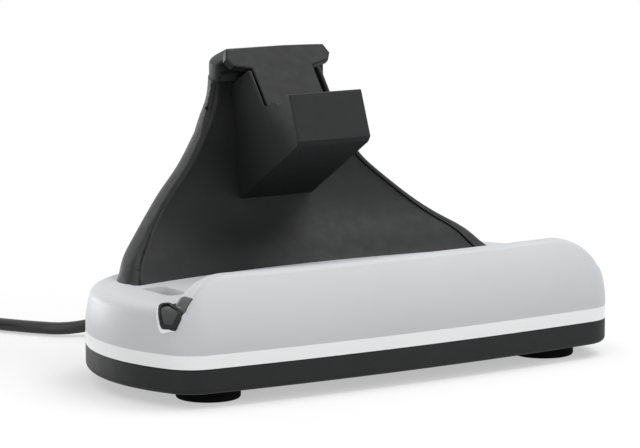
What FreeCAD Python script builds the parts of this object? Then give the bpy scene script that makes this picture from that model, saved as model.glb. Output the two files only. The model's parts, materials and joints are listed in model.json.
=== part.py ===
"""Charging stand for a handheld console: a weighted base with a front lip, a flared upright that
carries the plug in a forward arm, and a captive lead. Millimetres, +Z up, front towards -Y, origin
on the floor under the middle of the base."""
import FreeCAD, Part
import math
import os
import Sketcher

Vector = FreeCAD.Vector
Placement = FreeCAD.Placement
Rotation = FreeCAD.Rotation

doc = FreeCAD.newDocument("ChargingStand")
NODES = []

# Driving dimensions
SIZES = {
    # plan of the base: four arcs joined by corner arcs
    "half_width": 85.0,
    "half_depth": 43.5,
    "front_bow": 790.0,
    "back_bow": 203.0,
    "side_sag": 10.883,
    "side_forward": 10.0,
    "front_corner": 12.0,
    "back_corner": 36.0,
    # heights of the base
    "foot_height": 3.9,
    "tray_height": 7.55,
    "band_height": 4.05,
    "deck_height": 28.9,
    "lip_height": 37.3,
    # top shell
    "wall_start": 16.4,
    "wall_curve": 33.0,
    "lip_inset": 13.0,
    "lip_setback": 25.0,
    "lip_end_radius": 17.3,
    "lip_round": 2.6,
    "deck_round": 4.5,
    "shell_wall": 3.0,
    "deck_thickness": 3.5,
    "spigot_gap": 0.2,
    "spigot_drop": 3.4,
    "band_thickness": 1.7,
    # tray
    "tray_wall": 2.4,
    "tray_floor": 2.4,
    "tray_round": 1.8,
    "tray_line": 0.5,
    # feet and the case screws above them
    "foot_diameter": 19.2,
    "foot_seat": 0.8,
    "foot_gap": 0.2,
    "foot_round": 0.8,
    "front_foot_in": 23.25,
    "front_foot_back": 17.85,
    "back_foot_in": 33.0,
    "back_foot_front": 16.5,
    # light window in the left end of the lip
    "window_front": 8.3,
    "window_back": 17.7,
    "window_low": 22.9,
    "window_high": 32.5,
    "window_width": 12.2,
    "window_gap": 0.1,
    # slot in the deck beside the seat
    "slot_in": 17.0,
    "slot_width": 8.0,
    "slot_back": 29.7,
    "slot_length": 15.8,
    "slot_depth": 2.2,
    "slot_round": 2.0,
    # case screws, from under the feet into the shell's posts
    "case_screw": 3.0,
    "case_screw_length": 12.0,
    "case_head": 5.6,
    "case_head_height": 1.8,
    "head_gap": 0.3,
    "screw_gap": 0.1,
    "fit_gap": 0.1,
    "hole_gap": 0.2,
    "collar_height": 2.5,
    "collar_diameter": 9.0,
    "post_diameter": 8.0,
    "head_shoulder": 1.9,
    # upright: sections by height, each with its half width and the front face on the middle line
    "upright_seat": 1.5,
    "upright_bow": 285.0,
    "upright_thickness": 10.0,
    "edge_round": 1.4,
    "back_round": 7.0,
    "rise_a": 6.3,
    "rise_b": 11.4,
    "rise_c": 18.2,
    "rise_d": 25.4,
    "rise_e": 31.3,
    "rise_f": 38.6,
    "rise_g": 47.2,
    "rise_h": 54.6,
    "rise_top": 66.0,
    "half_foot": 66.6,
    "half_a": 61.1,
    "half_b": 55.2,
    "half_c": 47.4,
    "half_d": 39.4,
    "half_e": 33.2,
    "half_f": 28.0,
    "half_g": 22.5,
    "half_h": 19.9,
    "half_top": 16.6,
    "face_foot": 14.4,
    "face_a": 20.4,
    "face_b": 25.4,
    "face_c": 30.1,
    "face_d": 32.7,
    "face_e": 33.6,
    "face_f": 33.8,
    "face_g": 35.5,
    "face_h": 36.4,
    "face_top": 34.4,
    "neck_thin_g": 1.4,
    "neck_thin_h": 2.3,
    "seat_gap": 0.3,
    "rim": 2.2,
    "rear_wall": 2.5,
    "panel_sunk": 0.6,
    "panel_thickness": 2.4,
    "panel_gap": 0.4,
    "panel_seat": 0.3,
    "panel_ledge": 2.0,
    "cavity_top": 88.5,
    "head_front": 92.2,
    "head_back": 90.6,
    "head_corner_in": 6.0,
    "head_corner_drop": 4.2,
    "panel_top": 88.0,
    # forward arm: its side profile, and the pocket and hollow in it
    "arm_half": 13.4,
    "arm_round": 0.5,
    "cheek": 1.1,
    "arm_tip_y": 4.0,
    "arm_tip_rise": 9.4,
    "arm_nose_y": -1.2,
    "arm_nose_drop": 4.7,
    "arm_chin_y": -0.3,
    "arm_chin_drop": 6.2,
    "arm_root_y": 33.3,
    "arm_root_z": 47.0,
    "arm_back_y": 38.2,
    "arm_back_low": 52.0,
    "arm_back_high": 82.6,
    "cheek_top_y": 27.0,
    "cheek_top_rise": 14.5,
    "cheek_foot_y": 19.5,
    "valley_rise": 4.3,
    "valley_y": 15.6,
    "ridge_rise": 5.9,
    "ridge_back_y": 14.0,
    "ridge_front_y": 11.6,
    "dip_rise": 5.2,
    "dip_y": 10.3,
    "brow_y": 6.0,
    "brow_rise": 9.0,
    "brow_low_y": 8.5,
    "brow_low_rise": 6.3,
    "pocket_floor": 74.0,
    "pocket_front_low": 3.4,
    "pocket_front_high": 6.8,
    "hollow_half": 11.0,
    "hollow_front": 2.2,
    "hollow_top_drop": 2.4,
    "hollow_low_drop": 4.9,
    "hollow_back": 39.0,
    "hollow_back_low": 46.0,
    "hollow_back_high": 84.0,
    "hollow_neck_y": 29.6,
    "hollow_neck_low_y": 22.0,
    # head plate on the sloping neck
    "plate_lean": 53.0,
    "neck_foot_y": 16.275,
    "plate_thickness": 2.4,
    "plate_round": 0.6,
    "plate_half": 11.3,
    "plate_foot": 2.25,
    "plate_length": 26.3,
    "bar_low": 18.9,
    "bar_start": 20.3,
    "bar_start_half": 17.8,
    "bar_wide": 22.95,
    "bar_wide_half": 19.4,
    "bar_top_half": 18.1,
    "bar_arch": 0.5,
    "bar_clear": 0.9,
    # screws of the upright
    "mast_screw": 2.5,
    "mast_screw_length": 5.4,
    "mast_head": 5.0,
    "mast_head_height": 1.6,
    "mast_screw_back": 8.2,
    "mast_screw_near": 20.0,
    "mast_screw_far": 44.0,
    "lead_way": 6.0,
    "lead_hole_half": 4.5,
    "lead_hole_front": 18.0,
    "lead_hole_back": 22.8,
    "panel_screw": 2.5,
    "panel_screw_length": 6.0,
    "panel_head": 5.0,
    "panel_head_height": 1.1,
    "panel_head_seat": 41.6,
    "panel_post": 5.6,
    "panel_post_length": 5.0,
    "panel_post_back": 39.8,
    "panel_screw_low_x": 20.0,
    "panel_screw_low_z": 58.0,
    "panel_screw_high_x": 13.6,
    "panel_screw_high_z": 67.0,
    # charging plug, leaning with the neck
    "plug_y": 9.5,
    "plug_lean": 37.0,
    "plug_width": 8.25,
    "plug_depth": 2.4,
    "plug_length": 6.5,
    "plug_wall": 0.3,
    "plug_slot_width": 6.9,
    "plug_slot_depth": 0.9,
    "plug_slot_length": 5.2,
    "plug_core_back": 0.2,
    "carrier_half": 4.6,
    "carrier_front": 6.7,
    "carrier_back": 12.3,
    "carrier_drop": 4.6,
    "carrier_gap": 0.2,
    "flange_half": 9.0,
    "flange_front": 4.0,
    "flange_back": 15.0,
    "flange_thickness": 1.4,
    "carrier_screw": 2.0,
    "carrier_screw_x": 7.0,
    "carrier_screw_length": 3.2,
    "carrier_head": 3.4,
    "carrier_head_height": 1.3,
    "connector_half": 5.0,
    "connector_front": 4.5,
    "connector_back": 14.5,
    "connector_thickness": 1.0,
    # boards and weight inside the base
    "board_left": -47.0,
    "board_right": -3.0,
    "board_front": -16.0,
    "board_back": 16.0,
    "board_thickness": 1.6,
    "board_hole_inset": 3.5,
    "standoff": 3.1,
    "standoff_diameter": 5.0,
    "board_screw": 2.0,
    "board_screw_length": 4.0,
    "board_head": 3.8,
    "board_head_height": 1.4,
    "chip_size": 6.0,
    "chip_height": 1.2,
    "chip_x": -27.0,
    "chip_y": -3.0,
    "coil_size": 7.2,
    "coil_height": 3.4,
    "inductor_x": -16.0,
    "inductor_y": -8.0,
    "capacitor_diameter": 6.3,
    "capacitor_height": 7.7,
    "capacitor_x": -38.0,
    "capacitor_front_y": -8.0,
    "capacitor_back_y": 3.0,
    "weight_left": 8.0,
    "weight_right": 55.0,
    "weight_front": -20.0,
    "weight_back": 18.0,
    "weight_height": 6.0,
    "weight_hole_inset": 8.0,
    "weight_post": 5.0,
    "weight_post_short": 0.2,
    "weight_screw": 2.5,
    "weight_screw_length": 4.0,
    "weight_head": 7.6,
    "weight_head_height": 1.6,
    "led_board_out": 0.5,
    "led_board_in": 6.6,
    "led_board_front": 8.9,
    "led_board_back": 14.3,
    "led_board_low": 11.4,
    "led_board_thickness": 1.0,
    "led_post_diameter": 3.0,
    "led_post_in": 4.6,
    "led_post_back": 12.0,
    "led_in": 2.3,
    "led_back": 10.9,
    "led_width": 2.0,
    "led_height": 1.0,
    "guide_width": 4.4,
    "guide_depth": 3.6,
    "guide_top": 24.9,
    "led_gap": 0.3,
    "led_lead": 1.6,
    "harness": 2.2,
    "input_lead": 3.4,
    # captive lead
    "cord": 4.0,
    "cord_height": 20.0,
    "cord_floor": 2.1,
    "relief_bore": 8.4,
    "relief_collar": 8.2,
    "relief_flange": 10.4,
    "relief_flange_back": 37.6,
    "relief_flange_thickness": 1.4,
    "relief_collar_end": 44.4,
    "relief_root": 7.2,
    "relief_tip": 5.2,
    "relief_end": 51.0,
    "cord_end_x": -73.3,
    "cord_end_y": 122.0,
    "coil_side": 34.0,
    "coil_turn": 50.0,
    "tail_lean": 35.0,
    "coil_inner": 12.0,
    "coil_outer": 32.0,
    "coil_low": 0.9,
    "coil_high": 8.9,
    "coil_round": 2.5,
    "tail_length": 14.0,
    "exit_length": 30.0,
    "exit_offset": 29.5,
    "tie_width": 8.0,
    "tie_thickness": 0.8,
    "tie_slack": 0.9,
    "usb_body_length": 30.0,
    "usb_body_width": 16.0,
    "usb_body_height": 8.0,
    "usb_body_round": 1.5,
    "usb_low": 0.1,
    "usb_shell_length": 12.0,
    "usb_shell_width": 12.0,
    "usb_shell_height": 4.5,
    "usb_shell_wall": 0.3,
    "usb_tongue_height": 1.8,
    "usb_tongue_length": 11.4,
}

sheet = doc.addObject("Spreadsheet::Sheet", "Sizes")
for row, (alias, value) in enumerate(SIZES.items(), 1):
    sheet.set("A%d" % row, alias)
    sheet.set("B%d" % row, "%g" % value)
    sheet.setAlias("B%d" % row, alias)
doc.recompute()


class Size:
    """A length: its value now, and the expression on the sheet that gives it."""

    def __init__(self, value, text):
        self.value = value
        self.text = text

    def join(self, other, sign, value):
        return Size(value, "(%s %s %s)" % (self.text, sign, as_size(other).text))

    def __add__(self, other):
        return self.join(other, "+", self.value + as_size(other).value)

    def __sub__(self, other):
        return self.join(other, "-", self.value - as_size(other).value)

    def __mul__(self, other):
        return self.join(other, "*", self.value * as_size(other).value)

    def __truediv__(self, other):
        return self.join(other, "/", self.value / as_size(other).value)

    def __neg__(self):
        return Size(-self.value, "(0 - %s)" % self.text)

    def root(self):
        return Size(math.sqrt(self.value), "sqrt(%s)" % self.text)


def as_size(number):
    return number if isinstance(number, Size) else Size(float(number), "%g" % number)


def size(alias):
    return Size(SIZES[alias], "Sizes." + alias)


def bind(thing, name, length):
    """Ties one property of an object to the sheet."""
    thing.setExpression(name, as_size(length).text)


def new_body(label, node=True):
    """A body; those that are pieces of the stand are written out at the end."""
    body = doc.addObject("PartDesign::Body", label)
    body.Label = label
    if node:
        NODES.append(body)
    return body


def new_sketch(body, plane, level=0.0):
    """An empty sketch on one of the body's own planes, moved along the plane's normal."""
    level = as_size(level)
    sketch = body.newObject("Sketcher::SketchObject", body.Label + "_sketch")
    origin = [item for item in body.Origin.OriginFeatures if item.Role == plane][0]
    sketch.AttachmentSupport = [(origin, "")]
    sketch.MapMode = "FlatFace"
    sketch.AttachmentOffset = Placement(Vector(0, 0, level.value), Rotation())
    bind(sketch, "AttachmentOffset.Base.z", level)
    return sketch


def constrain(sketch, kind, *values):
    """Adds a constraint whose last value is a size, and ties that to the sheet."""
    length = as_size(values[-1])
    index = sketch.addConstraint(Sketcher.Constraint(kind, *values[:-1], length.value))
    bind(sketch, "Constraints[%d]" % index, length)


def put(sketch, edge, point, x, y):
    """Sets one point of an edge at x, y from the sketch's origin."""
    for kind, along, axis in (("DistanceX", as_size(x), -2), ("DistanceY", as_size(y), -1)):
        if abs(along.value) < 1e-9:
            sketch.addConstraint(Sketcher.Constraint("PointOnObject", edge, point, axis))
        else:
            constrain(sketch, kind, -1, 1, edge, point, along)


def polygon(sketch, corners):
    """A closed run of straight lines through corners given as (x, y) sizes."""
    places = [Vector(as_size(x).value, as_size(y).value, 0) for x, y in corners]
    count = len(places)
    first = sketch.GeometryCount
    for here in range(count):
        sketch.addGeometry(Part.LineSegment(places[here], places[(here + 1) % count]), False)
    for here in range(count):
        sketch.addConstraint(
            Sketcher.Constraint("Coincident", first + here, 2, first + (here + 1) % count, 1))
        put(sketch, first + here, 1, *corners[here])


def rectangle(sketch, x_low, x_high, y_low, y_high):
    polygon(sketch, [(x_low, y_low), (x_high, y_low), (x_high, y_high), (x_low, y_high)])


def circle(sketch, x, y, diameter):
    diameter = as_size(diameter)
    middle = Vector(as_size(x).value, as_size(y).value, 0)
    index = sketch.addGeometry(Part.Circle(middle, Vector(0, 0, 1), diameter.value / 2), False)
    put(sketch, index, 3, x, y)
    constrain(sketch, "Diameter", index, diameter)


def pad(body, sketch, length, symmetric=False, back=False):
    feature = body.newObject("PartDesign::Pad", body.Label + "_pad")
    feature.Profile = sketch
    feature.SideType = "Symmetric" if symmetric else "One side"
    feature.Reversed = back
    bind(feature, "Length", length)
    return settle(feature)


def pocket(body, sketch, length=None, symmetric=False, along_normal=False):
    """A cut; with no length it goes through everything on its side."""
    before = body.Shape.Volume
    feature = body.newObject("PartDesign::Pocket", body.Label + "_pocket")
    feature.Profile = sketch
    feature.SideType = "Symmetric" if symmetric else "One side"
    feature.Reversed = along_normal
    if length is None:
        feature.Type = "ThroughAll"
    else:
        bind(feature, "Length", length)
    settle(feature)
    if body.Shape.Volume > before - 1e-3:
        raise RuntimeError("a pocket in %s cuts nothing" % body.Label)
    return feature


def loft(body, sketches, cut=False, ruled=False):
    kind = "PartDesign::SubtractiveLoft" if cut else "PartDesign::AdditiveLoft"
    feature = body.newObject(kind, body.Label + "_loft")
    feature.Profile = sketches[0]
    feature.Sections = sketches[1:]
    feature.Ruled = ruled
    return settle(feature)


def fillet(body, choose, radius):
    """Rounds the edges of the body's last feature that the test picks."""
    base = body.Tip
    names = ["Edge%d" % number for number, edge in enumerate(base.Shape.Edges, 1) if choose(edge)]
    feature = body.newObject("PartDesign::Fillet", body.Label + "_fillet")
    feature.Base = (base, names)
    bind(feature, "Radius", radius)
    return settle(feature)


def chamfer(body, choose, width):
    base = body.Tip
    names = ["Edge%d" % number for number, edge in enumerate(base.Shape.Edges, 1) if choose(edge)]
    feature = body.newObject("PartDesign::Chamfer", body.Label + "_chamfer")
    feature.Base = (base, names)
    bind(feature, "Size", width)
    return settle(feature)


def settle(feature):
    doc.recompute()
    if "Invalid" in feature.State or "Error" in feature.State or feature.Shape.isNull():
        raise RuntimeError("%s did not build" % feature.Name)
    return feature


def at_level(edge, level):
    """True for an edge that lies flat at a height."""
    return abs(edge.BoundBox.ZMin - level) < 1e-3 and abs(edge.BoundBox.ZMax - level) < 1e-3


# Heights that follow from the sizes
tray_bottom = size("foot_height")
tray_top = tray_bottom + size("tray_height")
band_top = tray_top + size("band_height")
tray_inside = tray_bottom + size("tray_floor")
deck = size("deck_height")
lip_top = size("lip_height")
deck_under = deck - size("deck_thickness")
pocket_floor = size("pocket_floor")

# Places that follow from the plan
side_run = size("half_depth") - size("side_forward")
side_bow = (side_run * side_run + size("side_sag") * size("side_sag")) / (size("side_sag") * 2)
lip_flat = size("half_width") - size("lip_setback")
window_face = size("window_width") - size("half_width")
plan_front = -size("half_depth")


def above_floor(alias):
    """A height given from the floor of the arm's pocket."""
    return pocket_floor + size(alias)


def below_floor(alias):
    return pocket_floor - size(alias)


def corner_middle(main_middle, main_radius, side_middle, side_radius, corner, outward):
    """Middle of the arc that joins two arcs from inside, on the outward side."""
    reach_a = main_radius - corner
    reach_b = side_radius - corner
    across = side_middle.sub(main_middle)
    span = across.Length
    along = (reach_a ** 2 - reach_b ** 2 + span ** 2) / (2 * span)
    rise = math.sqrt(reach_a ** 2 - along ** 2)
    unit = Vector(across).normalize()
    normal = Vector(-unit.y, unit.x, 0)
    foot = main_middle.add(Vector(unit).multiply(along))
    choices = [foot.add(Vector(normal).multiply(rise)), foot.sub(Vector(normal).multiply(rise))]
    return max(choices, key=lambda point: point.dot(outward))


def outline(sketch, inset=0.0):
    """The base's plan, drawn inwards by a distance: front, right, back and left arcs with corners."""
    inset = as_size(inset)
    side_y = -size("side_forward")
    side_x = size("half_width") - side_bow
    front_y = size("front_bow") - size("half_depth")
    back_y = size("half_depth") - size("back_bow")
    mains = [
        (as_size(0), front_y, size("front_bow")),
        (side_x, side_y, side_bow),
        (as_size(0), back_y, size("back_bow")),
        (-side_x, side_y, side_bow),
    ]
    corners = [size("front_corner"), size("back_corner"), size("back_corner"), size("front_corner")]
    ways = [Vector(1, -1, 0), Vector(1, 1, 0), Vector(-1, 1, 0), Vector(-1, -1, 0)]
    middles = [Vector(x.value, y.value, 0) for x, y, _ in mains]
    radii = [radius.value for _, _, radius in mains]
    joins = []
    for here in range(4):
        there = (here + 1) % 4
        joins.append(corner_middle(middles[here], radii[here], middles[there], radii[there],
                                   corners[here].value, ways[here]))

    def angle(start, end):
        return math.atan2(end.y - start.y, end.x - start.x)

    first = sketch.GeometryCount
    up = Vector(0, 0, 1)
    for here in range(4):
        past = joins[here - 1]
        ahead = joins[here]
        there = (here + 1) % 4
        main = Part.Circle(middles[here], up, radii[here] - inset.value)
        begin = angle(middles[here], past)
        end = angle(middles[here], ahead)
        sketch.addGeometry(Part.ArcOfCircle(main, begin, end), False)
        corner = Part.Circle(ahead, up, corners[here].value - inset.value)
        finish = angle(middles[there], ahead)
        sketch.addGeometry(Part.ArcOfCircle(corner, end, finish), False)
    for here in range(8):
        sketch.addConstraint(
            Sketcher.Constraint("Tangent", first + here, 2, first + (here + 1) % 8, 1))
    for here in range(4):
        x, y, radius = mains[here]
        put(sketch, first + 2 * here, 3, x, y)
        constrain(sketch, "Radius", first + 2 * here, radius - inset)
        constrain(sketch, "Radius", first + 2 * here + 1, corners[here] - inset)


def wall_inset(level):
    """How far the shell's wall has curved in at a height."""
    rise = level - size("wall_start")
    curve = size("wall_curve")
    return curve - (curve * curve - rise * rise).root()


mid_wall = band_top + (deck - band_top) * 0.5


def wall_form(body):
    """The curved wall of the base, from the accent band to the height of the lip."""
    sections = []
    for level, inset in ((band_top, 0), (mid_wall, wall_inset(mid_wall)), (deck, wall_inset(deck)),
                         (lip_top, wall_inset(lip_top))):
        sketch = new_sketch(body, "XY_Plane", level)
        outline(sketch, inset)
        sections.append(sketch)
    return loft(body, sections)


far_x = size("half_width") * 1.5
far_y = size("half_depth") * 1.5


def behind_lip(sketch):
    """Everything behind the lip's inner face, in plan."""
    front_y = size("front_bow") - size("half_depth")
    radius = size("front_bow") - size("lip_inset")
    half = math.asin(far_x.value / radius.value)
    arc = Part.ArcOfCircle(Part.Circle(Vector(0, front_y.value, 0), Vector(0, 0, 1), radius.value),
                           1.5 * math.pi - half, 1.5 * math.pi + half)
    sketch.addGeometry(arc, False)
    low = arc.StartPoint.y
    places = [(far_x.value, low), (far_x.value, far_y.value), (-far_x.value, far_y.value),
              (-far_x.value, low)]
    for (x_a, y_a), (x_b, y_b) in zip(places, places[1:]):
        sketch.addGeometry(Part.LineSegment(Vector(x_a, y_a, 0), Vector(x_b, y_b, 0)), False)
    for here in range(4):
        sketch.addConstraint(Sketcher.Constraint("Coincident", here, 2, (here + 1) % 4, 1))
    put(sketch, 0, 3, 0, front_y)
    constrain(sketch, "Radius", 0, radius)
    put(sketch, 2, 1, far_x, far_y)
    put(sketch, 2, 2, -far_x, far_y)
    sketch.addConstraint(Sketcher.Constraint("Vertical", 1))
    sketch.addConstraint(Sketcher.Constraint("Vertical", 3))
    return sketch


def lip_end(sketch, side):
    """What is cut away past the round end of the lip, on the right (1) or left (-1)."""
    flat = lip_flat
    radius = size("lip_end_radius")
    middle_z = lip_top - radius
    above = lip_top * 1.5
    base = Part.Circle(Vector(side * flat.value, middle_z.value, 0), Vector(0, 0, 1), radius.value)
    span = (0, math.pi / 2) if side > 0 else (math.pi / 2, math.pi)
    first = sketch.addGeometry(Part.ArcOfCircle(base, *span), False)
    low_end, top_end = (1, 2) if side > 0 else (2, 1)

    def across(length):
        return length if side > 0 else -length

    reach = flat + radius
    corners = [(flat, lip_top), (flat, above), (far_x, above), (far_x, as_size(0)),
               (reach, as_size(0)), (reach, middle_z)]
    points = [Vector(side * x.value, y.value, 0) for x, y in corners]
    lines = len(points) - 1
    for here in range(lines):
        sketch.addGeometry(Part.LineSegment(points[here], points[here + 1]), False)
    sketch.addConstraint(Sketcher.Constraint("Coincident", first, top_end, first + 1, 1))
    for here in range(1, lines):
        sketch.addConstraint(Sketcher.Constraint("Coincident", first + here, 2, first + here + 1, 1))
    sketch.addConstraint(Sketcher.Constraint("Coincident", first + lines, 2, first, low_end))
    put(sketch, first, 3, across(flat), middle_z)
    constrain(sketch, "Radius", first, radius)
    sketch.addConstraint(Sketcher.Constraint("Vertical", first + 1))
    put(sketch, first + 2, 1, across(flat), above)
    put(sketch, first + 3, 1, across(far_x), above)
    put(sketch, first + 4, 1, across(far_x), 0)
    put(sketch, first + 5, 1, across(reach), 0)
    constrain(sketch, "DistanceY", -1, 1, first + 5, 2, middle_z)


def lip_edge(edge):
    """True for the edges of the lip's top and of its two round ends."""
    box = edge.BoundBox
    if at_level(edge, lip_top.value):
        return box.XLength > lip_flat.value
    if box.ZLength < size("lip_round").value:
        return False
    low = lip_top.value - size("lip_end_radius").value
    reach = lip_flat.value + size("lip_end_radius").value
    for point in edge.discretize(5):
        if point.z > low:
            gap = math.hypot(abs(point.x) - lip_flat.value, point.z - low)
            gap -= size("lip_end_radius").value
        else:
            gap = abs(point.x) - reach
        if abs(gap) > 1e-2:
            return False
    return True


def lip_form(name):
    """The lip along the front, as a body to be joined to a shell."""
    body = new_body(name, node=False)
    wall_form(body)
    sketch = behind_lip(new_sketch(body, "XY_Plane", band_top))
    pocket(body, sketch, along_normal=True)
    sketch = new_sketch(body, "XZ_Plane")
    for side in (1, -1):
        lip_end(sketch, side)
    pocket(body, sketch, symmetric=True)
    sketch = new_sketch(body, "XY_Plane", mid_wall)
    rectangle(sketch, -far_x, far_x, -far_y, far_y)
    pocket(body, sketch)
    fillet(body, lip_edge, size("lip_round"))
    return body


def shell_form(body):
    """The outside of the top shell: curved wall, rounded deck, and the lip along the front."""
    wall_form(body)
    sketch = new_sketch(body, "XY_Plane", deck)
    rectangle(sketch, -far_x, far_x, -far_y, far_y)
    pocket(body, sketch, along_normal=True)
    fillet(body, lambda edge: at_level(edge, deck.value), size("deck_round"))
    join = body.newObject("PartDesign::Boolean", body.Label + "_join")
    join.Type = "Fuse"
    join.setObjects([lip_form(body.Label + "_lip")])
    settle(join)
    return body


def case_places():
    """The middles of the four feet, with the case screws above them."""
    front = plan_front + size("front_foot_back")
    back = size("half_depth") - size("back_foot_front")
    front_x = size("half_width") - size("front_foot_in")
    back_x = size("half_width") - size("back_foot_in")
    return {
        "front_left": (-front_x, front),
        "front_right": (front_x, front),
        "back_left": (-back_x, back),
        "back_right": (back_x, back),
    }


def circles(sketch, places, diameter):
    for x, y in places:
        circle(sketch, x, y, diameter)
    return sketch


# Upright: levels of its sections, from the seat in the deck to the head
LEVELS = ["foot", "a", "b", "c", "d", "e", "f", "g", "h", "top"]
upright_base = deck - size("upright_seat")


def level_height(name):
    return upright_base if name == "foot" else upright_base + size("rise_" + name)


def upright_section(body, name, front, back, half=None, side=0.0, level=None, rounds=None):
    """A slice of the upright between two distances behind its front face, bowed in plan. Its sides are
    square, or round where two radii are given, for their front and back edges."""
    middle = size("face_" + name) - size("upright_bow")
    half = half or size("half_" + name) - side
    radii = [size("upright_bow") + front, size("upright_bow") + back]
    sketch = new_sketch(body, "XY_Plane", level or level_height(name))
    centre = Vector(0, middle.value, 0)
    up = Vector(0, 0, 1)
    # centres of the side rounds, and the angles at which the bowed faces end
    reaches = [radii[0], radii[1]]
    if rounds:
        reaches = [radii[0] + rounds[0], radii[1] - rounds[1]]
    spans = []
    turns = []
    for here, reach in enumerate(reaches):
        across = half.value - (rounds[here].value if rounds else 0)
        along = math.sqrt(reach.value ** 2 - across ** 2)
        spans.append(Vector(across, middle.value + along, 0))
        turns.append(math.atan2(across, along))
    for radius, turn in zip(radii, turns):
        ring = Part.Circle(centre, up, radius.value)
        sketch.addGeometry(Part.ArcOfCircle(ring, math.pi / 2 - turn, math.pi / 2 + turn), False)
    low, high = spans[0].y, spans[1].y
    sketch.addGeometry(Part.LineSegment(Vector(half.value, low, 0), Vector(half.value, high, 0)), False)
    sketch.addGeometry(Part.LineSegment(Vector(-half.value, high, 0), Vector(-half.value, low, 0)), False)
    if rounds:
        lower = -math.pi / 2 - turns[0]
        upper = math.pi / 2 - turns[1]
        corners = [(spans[0], rounds[0], lower, 0), (spans[1], rounds[1], 0, upper),
                   (spans[1], rounds[1], math.pi - upper, math.pi),
                   (spans[0], rounds[0], math.pi, math.pi - lower)]
        for number, (place, radius, begin, end) in enumerate(corners):
            spot = Vector(place.x if number < 2 else -place.x, place.y, 0)
            ring = Part.Circle(spot, up, radius.value)
            edge = sketch.addGeometry(Part.ArcOfCircle(ring, begin, end), False)
            constrain(sketch, "Radius", edge, radius)
        joins = ((0, 1, 4, 1), (4, 2, 2, 1), (2, 2, 5, 1), (5, 2, 1, 1),
                 (1, 2, 6, 1), (6, 2, 3, 1), (3, 2, 7, 1), (7, 2, 0, 2))
    else:
        joins = ((0, 1, 2, 1), (2, 2, 1, 1), (1, 2, 3, 1), (3, 2, 0, 2))
    for join in joins:
        sketch.addConstraint(Sketcher.Constraint("Tangent" if rounds else "Coincident", *join))
    for arc, radius in enumerate(radii):
        put(sketch, arc, 3, 0, middle)
        constrain(sketch, "Radius", arc, radius)
    sketch.addConstraint(Sketcher.Constraint("Vertical", 2))
    sketch.addConstraint(Sketcher.Constraint("Vertical", 3))
    constrain(sketch, "DistanceX", -1, 1, 2, 1, half)
    constrain(sketch, "DistanceX", -1, 1, 3, 1, -half)
    return sketch


def mast_places():
    """Screws that hold the upright down, on an arc that follows its foot."""
    places = []
    for reach in (size("mast_screw_near"), size("mast_screw_far")):
        bow = size("upright_bow")
        sag = bow - (bow * bow - reach * reach).root()
        y = size("face_foot") + size("mast_screw_back") - sag
        places += [(-reach, y), (reach, y)]
    return places


def feet():
    for name, (x, y) in case_places().items():
        body = new_body("foot_" + name)
        sketch = new_sketch(body, "XY_Plane")
        circle(sketch, x, y, size("foot_diameter"))
        pad(body, sketch, size("foot_height") + size("foot_seat"))
        fillet(body, lambda edge: at_level(edge, 0), size("foot_round"))


collar_top = tray_inside + size("collar_height")
head_seat = collar_top - size("head_shoulder")


def base_tray():
    body = new_body("base_tray")
    sketch = new_sketch(body, "XY_Plane", tray_bottom)
    outline(sketch)
    pad(body, sketch, size("tray_height"))
    fillet(body, lambda edge: at_level(edge, tray_bottom.value), size("tray_round"))
    chamfer(body, lambda edge: at_level(edge, tray_top.value), size("tray_line"))
    sketch = new_sketch(body, "XY_Plane", tray_top)
    outline(sketch, size("tray_wall"))
    pocket(body, sketch, size("tray_height") - size("tray_floor"))
    places = list(case_places().values())
    sketch = new_sketch(body, "XY_Plane", tray_bottom)
    circles(sketch, places, size("foot_diameter") + size("foot_gap") * 2)
    pocket(body, sketch, size("foot_seat"), along_normal=True)
    sketch = new_sketch(body, "XY_Plane", tray_inside)
    circles(sketch, places, size("collar_diameter"))
    pad(body, sketch, size("collar_height"))
    sketch = new_sketch(body, "XY_Plane", tray_bottom)
    circles(sketch, places, size("case_head") + size("head_gap") * 2)
    pocket(body, sketch, head_seat - tray_bottom, along_normal=True)
    sketch = new_sketch(body, "XY_Plane", tray_bottom)
    circles(sketch, places, size("case_screw") + size("hole_gap") * 2)
    pocket(body, sketch, along_normal=True)
    return body


def accent_band():
    body = new_body("accent_band")
    sketch = new_sketch(body, "XY_Plane", tray_top)
    outline(sketch)
    outline(sketch, size("band_thickness"))
    pad(body, sketch, size("band_height"))
    return body


def window_corners(gap):
    """Side view of the light window, as (y, z), drawn inwards by a gap: a slanting foot that reaches over
    the deck's edge, and a horn that climbs the end of the lip."""
    front = plan_front + size("window_front") + gap
    back = plan_front + size("window_back") - gap
    low = size("window_low") + gap
    high = size("window_high") - gap
    width = back - front
    return [(front + width * 0.08, low), (back - width * 0.6, low),
            (back - width * 0.15, deck + gap - width * 0.07),
            (back - gap, deck), (back - width * 0.31, deck - gap + width * 0.22),
            (back - width * 0.55, high - width * 0.08), (front, high), (front, low + width * 0.28)]


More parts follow.
